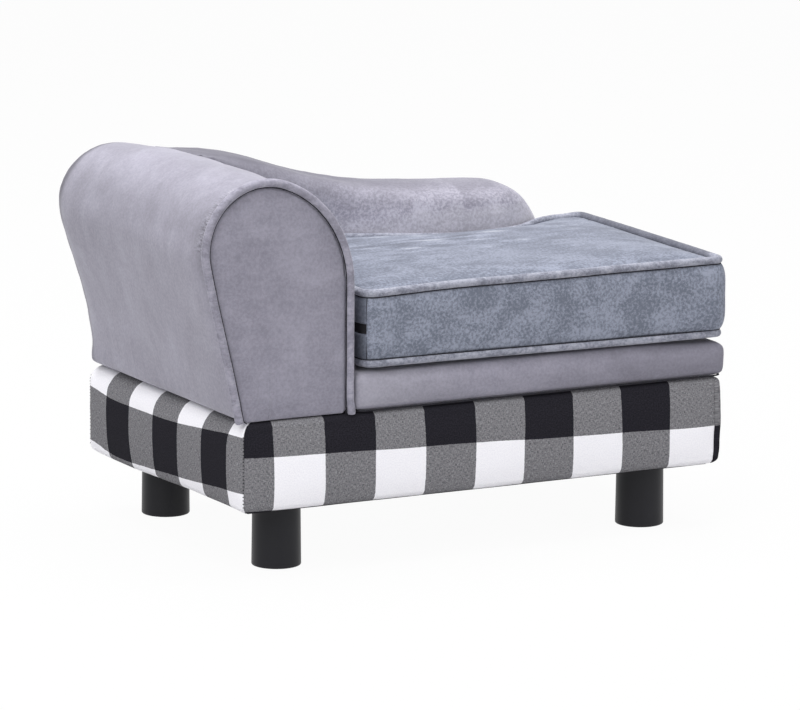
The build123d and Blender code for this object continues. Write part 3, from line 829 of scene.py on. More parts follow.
@dataclass
class Dresser:
    """Gives pieces their finish, their body and the construction nodes that they stand for."""

    materials: dict[Slot, bpy.types.Material]
    # Dark cord look: real stitching, and painted shadow lines in crevices.
    dark_stitch_and_shadow_line: bpy.types.Material
    thread_sides: int = 6
    sheet_depth: float = 2 * MM
    sheet_rim: float = 0.8 * MM

    def recut(self, node: str, name: str, move: Callable[[Vector], Vector],
              cuts: Sequence[float] = ()) -> None:
        """Makes a plywood board of the frame again, cut to the softer cloth round it.

        Args:
            node: The board.
            name: Name of the piece.
            move: Gives the new place of each of its points.
            cuts: Heights at which its edges get more points.
        """
        bm = bmesh.new()
        bm.from_mesh(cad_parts[node].data)
        for height in cuts:
            cut_across(bm, Vector((0.0, 0.0, height)), Vector((0.0, 0.0, 1.0)))
        for vertex in bm.verts:
            vertex.co = move(vertex.co)
        piece = finished(bm, name)
        for polygon in piece.data.polygons:
            polygon.use_smooth = False
        self.dress(piece, Slot.PLYWOOD, SOFA, [node])

    def dress(self, piece: bpy.types.Object, slot: Slot, body: str, nodes: Sequence[str],
              look: bpy.types.Material | None = None) -> bpy.types.Object:
        """Finishes one piece.

        Args:
            piece: The piece.
            slot: Its slot in the record.
            body: The body that it rides on.
            nodes: Construction nodes that it stands for.
            look: Its own finish, where that differs from the slot's.

        Returns:
            The piece.
        """
        piece.data.materials.clear()
        piece.data.materials.append(look or self.materials[slot])
        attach(piece, body)
        if nodes:
            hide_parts(*nodes)
        LOG.info("%s: %d faces, rides on %s", piece.name, len(piece.data.polygons), body)
        return piece

    def lay_dark_line(self, name: str, path: Sequence[Vector], radius: float, body: str, closed: bool = False) -> None:
        """Lays a dark cord along a line: stitching where it shows a seam, painted shadow where it stands for a
        dark crevice.

        Args:
            name: The line's name.
            path: Points along it.
            radius: Its radius.
            body: The body that it rides on.
            closed: Whether it closes into a ring.
        """
        dark_stitch_and_shadow_line = tube(name, path, radius, closed, self.thread_sides, 0.0)
        self.dress(dark_stitch_and_shadow_line, Slot.PIPING, body, [], self.dark_stitch_and_shadow_line)

    def rear_cloth(self, name: str, outline: Sequence[Vector], rear: float, move: Callable[[Vector], Vector],
                   node: str) -> None:
        """Makes a flat cloth over the rear of the arm or the back.

        Args:
            name: Name of the piece.
            outline: Its closed outline.
            rear: Where its outer face is.
            move: Gives the new place of each of its points.
            node: The node that it stands for.
        """
        rims = (0.0, self.sheet_rim)
        piece = finished(drawn_through(outline, rear - self.sheet_depth, rear, Facing.FRONT, rims), name)
        reshape(piece, lambda point, _normal: move(point))
        self.dress(piece, Slot.SOFA_PLUSH, SOFA, [node])

    def repaint_nodes(self) -> None:
        """Gives every construction node that still shows its detailed finish."""
        for name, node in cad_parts.items():
            for place in node.material_slots:
                slot = next((s for s in Slot if place.material and place.material.name.startswith(s.value)), None)
                if slot:
                    place.material = self.materials[slot]
                else:
                    LOG.warning("%s has no known slot", name)


def step(share: float) -> float:
    """Smooth step from zero to one."""
    bound = min(max(share, 0.0), 1.0)
    return bound * bound * (3 - 2 * bound)


def belly(level: float, fullness: float) -> float:
    """Swell between two held edges, at level zero and level one."""
    return math.sin(math.pi * min(max(level, 0.0), 1.0)) ** fullness


def cloth_noise(point: Vector, size: float, seed: float) -> float:
    """Smooth noise about zero for soft unevenness of this size."""
    return noise.noise(point / size + Vector((seed, seed, seed)))


@dataclass
class Arm:
    """The rolled arm: wrap, front facing, piping and rear panel."""

    dresser: Dresser
    roll_radius: float = 66.5 * MM
    lean: float = math.radians(10.3)
    shoulder_turn: float = math.radians(20.0)
    foot_round: float = 9 * MM
    piping: float = PIPING_RADIUS
    step_along: float = 7 * MM
    rims: tuple[float, float] = (4 * MM, 8 * MM)
    filling: Filling = Filling(4.0, 3 * MM)
    facing_filling: Filling = Filling(3.0, 3.2 * MM)
    facing_voxel: float = 3.5 * MM
    facing_step: float = 6 * MM
    fold_width: float = 5.5 * MM
    fold_length: float = 30 * MM
    fold_height: float = 1.3 * MM
    fold_turn: float = math.radians(150)
    fold_spread: float = math.radians(60)
    slack: float = 1.2 * MM
    slack_size: float = 70 * MM
    gather_reach: float = 26 * MM
    rear_drop: float = 7.5 * MM
    roll_swell: float = 3.5 * MM
    side_hollow: float = 13 * MM
    foot_draw: float = 7 * MM
    foot_drop: float = 2 * MM
    rear_settle: float = 4 * MM
    voxel: float = 5 * MM
    piping_lift: float = 1.5 * MM
    foot_flare: float = 2.2 * MM
    shadow_line_radius: float = 0.7 * MM
    # Painted shade on the wrap: its strengths, and where its band, its reach beside the piping and its rear rim
    # lie.
    top_painted_shade: float = -0.14
    band_painted_shade: float = -0.22
    band_turn: float = 2.7
    band_width: float = 0.3
    beside_painted_shade: float = -0.4
    beside_reach: float = 24 * MM
    rim_painted_shade: float = -0.9
    rim_width: float = 20 * MM

    def __post_init__(self) -> None:
        """Takes the arm's places from the frame."""
        low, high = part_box("arm_piping")
        wrap_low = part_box("arm_wrap_cover")[0]
        self.left = low.x + self.piping
        self.right = high.x - self.piping
        self.top = high.z - self.piping
        self.bottom = wrap_low.z
        self.front = wrap_low.y
        self.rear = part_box("arm_rear_panel")[1].y
        self.seam_y = low.y + self.piping
        self.roll = Vector((self.left + self.roll_radius, self.top - self.roll_radius))
        share = math.sin(self.shoulder_turn)
        self.far_radius = (self.right - self.roll.x - self.roll_radius * share) / (1 - share)
        gap = self.far_radius - self.roll_radius
        self.far = self.roll - gap * Vector((share, math.cos(self.shoulder_turn)))

    def outline(self, inset: float, lift: float = 0.0) -> list[Vector]:
        """Outline of the arm's front from its left foot to its right foot.

        Args:
            inset: Distance inside the line of the piping.
            lift: Height of its bottom above the base.

        Returns:
            The open line, clockwise seen from the front.
        """
        radius = self.roll_radius - inset
        bottom = self.bottom + lift
        lean_end = self.roll - radius * Vector((math.cos(self.lean), math.sin(self.lean)))
        foot = Vector((lean_end.x + (lean_end.y - bottom) * math.tan(self.lean), bottom))
        right = Vector((self.right - inset, bottom))
        over = math.pi / 2 - self.shoulder_turn
        points = rounded(right, foot, lean_end, self.foot_round - min(inset, self.foot_round / 2))
        points += arc(self.roll, radius, math.pi + self.lean, over)
        points += arc(self.far, self.far_radius - inset, over, 0.0)
        points.append(right)
        return points

    def build(self) -> None:
        """Builds and dresses the arm's pieces."""
        self.make_wrap()
        self.make_facing()
        self.make_piping()
        self.make_rear_panel()
        cuts = [self.bottom + i * 12 * MM for i in range(1, 16)]
        self.dresser.recut("arm_rear_board", "arm_rear_plywood", self.sagged, cuts)

    def make_wrap(self) -> None:
        """The plush wrapped over the padded roll, gathered at the piping."""
        outline = even(self.outline(0.0), self.step_along, True)
        bm = drawn_through(outline, self.front - 1 * MM, self.rear - 1 * MM, Facing.FRONT, self.rims)
        piece = finished(bm, "arm_wrap")
        remeshed(piece, self.voxel)
        ends = (self.front + 2 * MM, self.rear - 5 * MM)
        foot = self.bottom + 6 * MM
        self.filling.puff(piece, lambda point: point.y < ends[0] or point.y > ends[1] or point.z < foot)
        smoothed(piece)
        reshape(piece, self.gathered)
        rounder(piece)
        paint_light_and_shade(piece, self.nap)
        gathers = Gathers(tuple(self.roll), self.roll_radius, self.front)
        # Painted light: a lighter copy of the sofa's plush for the wrap, standing for the stronger light on the
        # roll.
        look = Plush("gathered_plush_painted_lighter", "a09eab", "86848f", brush=12.0, contrast=(0.2, 0.85),
                     strokes=(1.0, 1.0, 0.22), gathers=gathers).make()
        self.dresser.dress(piece, Slot.SOFA_PLUSH, SOFA, ["arm_wrap_cover", "arm_foam"], look)

    def turn_at(self, point: Vector) -> float:
        """Angle of a point round the middle of the roll, seen from the front."""
        return math.atan2(point.z - self.roll.y, point.x - self.roll.x)

    def gathered(self, point: Vector, normal: Vector) -> Vector:
        """Draws the wrap in at the piping, with gathers on the round of the roll.

        Args:
            point: A point of the wrap.
            normal: Its normal.

        Returns:
            The point's new place.
        """
        depth = point.y - self.front
        turn = self.turn_at(point)
        fade = math.exp(-max(depth, 0.0) / self.gather_reach)
        on_roll = max(0.0, math.sin(turn)) if point.z > self.roll.y else 0.0
        on_left = max(0.0, 1 - abs(turn - self.fold_turn) / self.fold_spread)
        around = turn * self.roll_radius / self.fold_width
        folds = noise.noise(Vector((around, depth / self.fold_length, 0.0))) * self.fold_height
        slack = cloth_noise(point, self.slack_size, 3.0) * self.slack * min(1.0, depth / (40 * MM))
        rise = folds * fade * (0.3 * on_roll + 0.9 * on_left) + slack
        if point.z < self.bottom + 3 * MM or point.y > self.rear - 4 * MM:
            rise = 0.0
        return self.sagged(point + Vector((normal.x, 0.0, normal.z)) * rise)

    def nap(self, point: Vector) -> float:
        """Painted shade: a little darker over the top, and darker in a band down the side, beside the piping and
        round the rear rim.

        Args:
            point: A point of the wrap.

        Returns:
            The painted tone, from -1 to 1.
        """
        turn = self.turn_at(point) % math.tau
        behind = point.y - self.front
        wander = cloth_noise(point, 22 * MM, 5.0) * 0.35
        top = 1 - step((turn + wander - 1.8) / 0.6)
        band = math.exp(-((turn + 0.6 * wander - self.band_turn) / self.band_width) ** 2)
        low = 1 - step((self.roll.y - point.z) / (90 * MM))
        beside = math.exp(-(behind / self.beside_reach) ** 2) * step((turn - 2.0) / 0.5) * low
        rim = step((point.y - self.rear + self.rim_width) / (9 * MM))
        tones = (self.top_painted_shade, self.band_painted_shade, self.beside_painted_shade, self.rim_painted_shade)
        return sum(tone * share for tone, share in zip(tones, (top, band, beside, rim)))

    def sagged(self, point: Vector) -> Vector:
        """Lowers the roll towards its rear and hollows the side under it.

        Args:
            point: A point of the arm.

        Returns:
            Its new place.
        """
        share = max(0.0, (point.y - self.front) / (self.rear - self.front))
        drop = step((share - 0.66) / 0.34) * self.rear_drop
        moved = point.copy()
        if point.z > self.roll.y:
            swell = self.roll_swell * step(share / 0.25) * (1 - step((share - 0.45) / 0.35))
            moved.z += (swell - drop) * math.sin(self.turn_at(point))
        if point.x < self.roll.x:
            below = (self.roll.y - point.z) / (self.roll.y - self.bottom)
            flare = 1 - 0.5 * step((below - 0.85) / 0.15)
            moved.x += self.side_hollow * share * step(below / 0.7) * flare
            moved.x += self.foot_draw * (1 - share) * step(below)
            left = 1 - step((point.x - self.left) / (90 * MM))
            moved.z -= self.rear_settle * share * left * (1 - step((point.z - self.bottom) / (50 * MM)))
        return moved

    def make_facing(self) -> None:
        """The padded front facing inside the piping."""
        outline = even(self.outline(self.piping * 0.7), self.facing_step, True)
        bm = drawn_through(outline, self.seam_y + 0.2 * MM, self.front + 1 * MM, Facing.FRONT)
        piece = finished(bm, "arm_facing")
        remeshed(piece, self.facing_voxel)
        border = self.seam_y + 1.5 * MM
        self.facing_filling.puff(piece, lambda p: p.y > border or self.border_distance(p) < 4 * MM)
        smoothed(piece)
        reshape(piece, lambda p, n: self.sagged(p + n * cloth_noise(p, 60 * MM, 8.0) * 0.5 * MM))
        rounder(piece)
        self.dresser.dress(piece, Slot.SOFA_PLUSH, SOFA, ["arm_front_facing"])

    def border_distance(self, point: Vector) -> float:
        """About how far a point of the facing is from its border."""
        flat = Vector((point.x, point.z))
        if flat.y > self.roll.y:
            near_roll = self.roll_radius - (flat - self.roll).length
            near_far = self.far_radius - (flat - self.far).length
            return near_roll if flat.x < self.roll.x else min(self.roll_radius, near_far)
        lean_x = self.left + (self.roll.y - flat.y) * math.tan(self.lean)
        return min(flat.x - lean_x, self.right - flat.x, flat.y - self.bottom)

    def make_piping(self) -> None:
        """The piping round the front of the arm, from foot to foot, and a dark cord inside it: painted shadow for
        the crevice between the piping and the facing.
        """
        line = even(self.outline(0.0), 4 * MM, False)
        foot = self.bottom + self.foot_round * 0.6
        low = [point for point in line if point.y > foot or point.x > self.roll.x]
        low.insert(0, low[0] + (low[0] - low[1]).normalized() * (foot - self.bottom + self.foot_drop))
        low[-1] = low[-1] - Vector((0.0, self.foot_drop))
        path = self.lifted(even(low, 4 * MM, False), self.seam_y)
        for point in path:
            if point.x > self.roll.x:
                point.x += self.foot_flare * (1 - step((point.z - self.bottom) / (16 * MM)))
        piece = tube("arm_piping_cord", path, self.piping * 1.05, False)
        self.dresser.dress(piece, Slot.PIPING, SOFA, ["arm_piping"])
        # Dark cord at the seam inside the piping: painted shadow for the crevice there.
        inner = even(self.outline(self.piping * 1.06), 4 * MM, False)
        seam = self.lifted(inner, self.seam_y - 0.7 * MM)
        self.dresser.lay_dark_line("arm_seam_thread", seam, self.shadow_line_radius, SOFA)

    def lifted(self, line: Sequence[Vector], depth: float) -> list[Vector]:
        """Places of a line round the arm's front, lifted a little over the roll.

        Args:
            line: Its points in the plane of the front.
            depth: How far back it lies.

        Returns:
            The places in space.
        """
        path = [self.sagged(in_space(point, depth, Facing.FRONT)) for point in line]
        for point in path:
            point.z += self.piping_lift * max(0.0, (point.z - self.roll.y) / self.roll_radius)
        return path

    def make_rear_panel(self) -> None:
        """The flat cloth over the rear of the arm."""
        outline = even(self.outline(7 * MM, 0.5 * MM), 6 * MM, True)
        self.dresser.rear_cloth("arm_rear_cloth", outline, self.rear, self.sagged, "arm_rear_panel")


@dataclass
class Bow:
    """The bowed line where the back meets the cushion."""

    left: float
    right: float
    depth: float = 28 * MM
    ease: float = 2 * MM

    def at(self, x: float) -> float:
        """How far the line comes forward at this place."""
        share = (x - (self.left + self.right) / 2) / ((self.right - self.left) / 2)
        raw = self.depth * (1 - share * share)
        return (raw + math.sqrt(raw * raw + self.ease * self.ease)) / 2 if raw > -1 else 0.0


@dataclass
class Back:
    """The back: padded cover with a wave along its top, and its rear cloth."""

    dresser: Dresser
    bow: Bow
    arm: Arm
    arm_gap: float = 1.5 * MM
    start_angle: float = math.radians(8.0)
    steep_angle: float = math.radians(18.5)
    flat_angle: float = math.radians(3.4)
    crest_share: float = 0.346
    trough_share: float = 0.359
    shoulder: float = 78.5 * MM
    shoulder_draw: float = 13.5 * MM
    start_drop: float = 4 * MM
    crest_swell: float = 2.2 * MM
    front_round: float = 17 * MM
    rear_round: float = 7 * MM
    voxel: float = 5 * MM
    filling: Filling = Filling(4.0, 2 * MM)
    # Painted light towards the rounded end, painted shade along the wave's top and its rim.
    end_painted_light: float = 0.3
    top_painted_shade: float = -0.85
    rim_painted_shade: float = -0.3

    def __post_init__(self) -> None:
        """Takes the back's places from the frame."""
        low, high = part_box("back_front_cover")
        self.start = Vector((low.x - 1 * MM, high.z - 0.2 * MM))
        self.end_x = high.x
        self.bottom = low.z
        self.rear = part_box("back_rear_cover")[1].y
        self.face = low.y + self.bow.depth
        self.top_line = self.wave(0.0)

    def outline(self, inset: float, lift: float, at_rear: bool = False) -> list[Vector]:
        """Front outline of the back: up along the arm, over the wave and down its right end.

        Args:
            inset: Distance inside its cloth along the wave and the right end.
            lift: Height of its foot above the base.
            at_rear: Whether the arm's line is taken where the roll has sunk at the rear.

        Returns:
            The closed line, clockwise seen from the front.
        """
        crest = self.wave(inset)
        line = even(self.arm.outline(-self.arm_gap), 3 * MM, False)
        if at_rear:
            sunk = [self.arm.sagged(in_space(point, self.rear, Facing.FRONT)) for point in line]
            line = [Vector((point.x, point.z)) for point in sunk]
        line = [point for point in line if point.x > crest[0].x]
        beside = [point for point in line if point.y < height_of(crest, point.x) - 0.5 * MM]
        foot = beside.pop()
        over = [point for point in crest if point.x > beside[0].x + 1 * MM]
        bottom = self.bottom + lift
        return [Vector((foot.x, bottom)), *reversed(beside), *over, Vector((crest[-1].x, bottom))]

    def wave(self, inset: float) -> list[Vector]:
        """The line along the top of the back and round its shoulder.

        Args:
            inset: Distance inside its cloth.

        Returns:
            The line's points, from the arm to the right end.
        """
        run = self.end_x - self.start.x - self.shoulder * (1 - math.sin(self.flat_angle))
        crest = run * self.crest_share
        trough = run * self.trough_share
        crest_radius = crest / (math.sin(self.steep_angle) - math.sin(self.start_angle))
        trough_radius = trough / (math.sin(self.steep_angle) - math.sin(self.flat_angle))
        up = math.pi / 2
        centre = self.start - crest_radius * Vector((math.sin(self.start_angle), math.cos(self.start_angle)))
        points = arc(centre, crest_radius - inset, up - self.start_angle, up - self.steep_angle)
        turn = centre + crest_radius * Vector((math.sin(self.steep_angle), math.cos(self.steep_angle)))
        hollow = turn + trough_radius * Vector((math.sin(self.steep_angle), math.cos(self.steep_angle)))
        points += arc(hollow, trough_radius + inset, -up - self.steep_angle, -up - self.flat_angle)
        low = hollow - trough_radius * Vector((math.sin(self.flat_angle), math.cos(self.flat_angle)))
        flat = run - crest - trough
        low += Vector((flat, -flat * math.tan(self.flat_angle)))
        middle = low - self.shoulder * Vector((math.sin(self.flat_angle), math.cos(self.flat_angle)))
        points += arc(middle, self.shoulder - inset, up - self.flat_angle, 0.0)
        return points

    def build(self) -> None:
        """Builds and dresses the back's pieces."""
        self.make_cover()
        self.make_rear_cloth()
        cuts = [self.bottom + i * 15 * MM for i in range(1, 12)]
        self.dresser.recut("back_board", "back_plywood", self.drawn, cuts)

    def make_cover(self) -> None:
        """The padded cover, its front bowed towards the cushion."""
        outline = even(self.outline(1 * MM, 1 * MM), 7 * MM, True)
        bm = drawn_through(outline, self.face + 1.5 * MM, self.rear - 1 * MM, Facing.FRONT,
                           (self.front_round, self.rear_round))
        piece = finished(bm, "back_cover")
        remeshed(piece, self.voxel)
        reshape(piece, self.bowed)
        low = self.bottom + 30 * MM
        self.filling.puff(piece, lambda point: point.z < low or point.y > self.rear - 4 * MM)
        smoothed(piece)
        reshape(piece, self.soft)
        rounder(piece)
        # Painted light: a lighter copy of the sofa's plush for the back, standing for the stronger light on it.
        look = Plush("back_plush_painted_lighter", "b0aebb", "8e8c98", contrast=(0.25, 0.75), sheen=0.3,
                     speckle=0.5).make()
        paint_light_and_shade(piece, self.nap)
        self.dresser.dress(piece, Slot.SOFA_PLUSH, SOFA, ["back_front_cover", "back_foam"], look)

    def bowed(self, point: Vector, _normal: Vector) -> Vector:
        """Deepens the back where its front bows out."""
        depth = self.rear - self.face
        share = (self.rear - point.y) / depth
        return Vector((point.x, self.rear - share * (depth + self.bow.at(point.x)), point.z))

    def soft(self, point: Vector, normal: Vector) -> Vector:
        """Keeps the front clear of the cushion's way, with soft unevenness elsewhere.

        Args:
            point: A point of the cover.
            normal: Its normal.

        Returns:
            The point's new place.
        """
        moved = point + normal * cloth_noise(point, 55 * MM, 12.0) * 0.9 * MM
        moved = self.drawn(moved)
        if point.z > self.bottom + 100 * MM:
            moved.z += self.crest_swell * math.exp(-((point.x + 90 * MM) / (60 * MM)) ** 2)
        moved.z -= self.start_drop * (1 - step((point.x - self.start.x) / (70 * MM)))
        moved.y = max(moved.y, self.face - self.bow.at(moved.x) + 0.2 * MM)
        moved.y = min(moved.y, self.rear - 0.6 * MM)
        return moved

    def drawn(self, point: Vector) -> Vector:
        """Draws the shoulder in towards the seat, and leaves its foot where it stands.

        Args:
            point: A point of the back.

        Returns:
            Its new place.
        """
        moved = point.copy()
        reach = 1.25 * self.shoulder
        raised = step((point.z - self.bottom) / (110 * MM))
        moved.x -= self.shoulder_draw * raised * step((point.x - self.end_x + reach) / reach)
        return moved

    def nap(self, point: Vector) -> float:
        """Painted light and shade: dark along the top of the wave and light towards the rounded end.

        Args:
            point: A point of the cover.

        Returns:
            The painted tone, from -1 to 1.
        """
        top = height_of(self.top_line, point.x)
        wander = cloth_noise(point, 26 * MM, 14.0) * 10 * MM
        along = step((point.x - self.start.x) / (self.end_x - self.start.x))
        under = step((top - point.z + wander - 4 * MM) / (24 * MM + 50 * MM * (1 - along) ** 2))
        rim = 1 - step((top - point.z) / (7 * MM))
        over = (1 - under) * (1 - 0.72 * along)
        return self.end_painted_light * along * under + self.top_painted_shade * over + self.rim_painted_shade * rim

    def make_rear_cloth(self) -> None:
        """The flat cloth over the rear of the back."""
        outline = even(self.outline(6 * MM, 0.5 * MM, at_rear=True), 6 * MM, True)
        self.dresser.rear_cloth("back_rear_cloth", outline, self.rear, self.drawn, "back_rear_cover")


def box_body(low: Vector, high: Vector, upright: float, top: float, bottom: float) -> bmesh.types.BMesh:
    """Box with rounded edges.

    Args:
        low: Its lowest corner.
        high: Its highest corner.
        upright: Rounding of its upright edges.
        top: Rounding round its top.
        bottom: Rounding round its bottom.

    Returns:
        The body.
    """
    bm = bmesh.new()
    bmesh.ops.create_cube(bm, size=1.0)
    bmesh.ops.scale(bm, verts=bm.verts, vec=high - low)
    bmesh.ops.translate(bm, verts=bm.verts, vec=(low + high) / 2)
    settings = {"offset_type": "OFFSET", "segments": 5, "profile": 0.5, "affect": "EDGES", "material": -1,
                "clamp_overlap": False}
    if upright:
        edges = [e for e in bm.edges if abs(e.verts[0].co.z - e.verts[1].co.z) > (high - low).z / 2]
        bmesh.ops.bevel(bm, geom=edges, offset=upright, **settings)
    for level, size in ((high.z, top), (low.z, bottom)):
        edges = [e for e in bm.edges if all(abs(v.co.z - level) < 0.01 * MM for v in e.verts)]
        if size:
            bmesh.ops.bevel(bm, geom=edges, offset=size, **settings)
    return bm


@dataclass
class Deck:
    """The padded deck under the cushion."""

    dresser: Dresser
    bulge: float = 1 * MM
    rounds: tuple[float, float, float] = (6 * MM, 9 * MM, 6 * MM)
    voxel: float = 5 * MM
    filling: Filling = Filling(3.0, 2.2 * MM)
    end_drop: float = 3.5 * MM
    end_swell: float = 3.3 * MM
    # Place and size of the dark cord at the deck's foot: painted shadow.
    shadow_line_inset: float = 3.2 * MM
    shadow_line_radius: float = 1.1 * MM
    shadow_line_round: float = 5 * MM
    # Painted light and shade on the deck.
    left_painted_light: float = 0.12
    right_painted_shade: float = -0.5
    foot_painted_shade: float = -0.8
    rim_painted_shade: float = -0.5

    def __post_init__(self) -> None:
        """Takes the deck's place from the frame."""
        self.low, self.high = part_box("deck_cover")

    def build(self) -> None:
        """Builds and dresses the deck cover."""
        low, high = self.low, self.high
        side = Vector((self.bulge, self.bulge, 0))
        piece = finished(box_body(low + side, high - side, *self.rounds), "deck_pad")
        remeshed(piece, self.voxel)
        self.filling.puff(piece, lambda point: point.z < low.z + 5 * MM or point.z > high.z - 1 * MM)
        smoothed(piece)
        reshape(piece, self.soft)
        paint_light_and_shade(piece, self.nap)
        rounder(piece)
        self.dresser.dress(piece, Slot.SOFA_PLUSH, SOFA, ["deck_cover", "deck_foam"])
        self.make_edge_shadow_line(low, high)

    def soft(self, point: Vector, normal: Vector) -> Vector:
        """Makes the front uneven and the right end full, and keeps the top and the bottom flat.

        Args:
            point: A point of the deck.
            normal: Its normal.

        Returns:
            The point's new place.
        """
        moved = point + normal * cloth_noise(point, 60 * MM, 21.0) * 0.7 * MM
        level = (point.z - self.low.z) / (self.high.z - self.low.z)
        moved.z -= self.end_drop * step((point.x - self.high.x + 110 * MM) / (100 * MM)) * step(level * 2 - 1)
        near_end = step((point.x - self.high.x + 40 * MM) / (40 * MM))
        moved.x += self.end_swell * near_end * belly(level, 0.35)
        moved.z = min(max(moved.z, self.low.z), self.high.z)
        return moved

    def nap(self, point: Vector) -> float:
        """Painted light and shade: lighter overall, darker towards the right, at the foot and along the right
        end's rim.

        Args:
            point: A point of the deck.

        Returns:
            The painted tone, from -1 to 1.
        """
        along = step((point.x - self.low.x) / (self.high.x - self.low.x))
        foot = 1 - step((point.z - self.low.z) / (5 * MM))
        rim = step((point.z - self.high.z + 6 * MM) / (5 * MM))
        rim *= step((point.x - self.high.x + 90 * MM) / (60 * MM))
        return self.left_painted_light + self.right_painted_shade * along + self.foot_painted_shade * foot + self.rim_painted_shade * rim

    def make_edge_shadow_line(self, low: Vector, high: Vector) -> None:
        """A dark cord round the foot of the deck, where it meets the base: painted shadow for the crevice there.

        Args:
            low: The deck's lowest corner.
            high: Its highest corner.
        """
        inset = self.shadow_line_inset
        flat = [Vector((low.x + inset, low.y + inset)), Vector((high.x - inset, low.y + inset)),
                Vector((high.x - inset, high.y - inset)), Vector((low.x + inset, high.y - inset))]
        line = []
        for i, corner in enumerate(flat):
            line += rounded(flat[i - 1], corner, flat[(i + 1) % 4], self.shadow_line_round)
        path = [Vector((p.x, p.y, low.z + self.shadow_line_radius)) for p in even(line, 8 * MM, True)]
        self.dresser.lay_dark_line("deck_edge_shadow_line", path, self.shadow_line_radius, SOFA, closed=True)


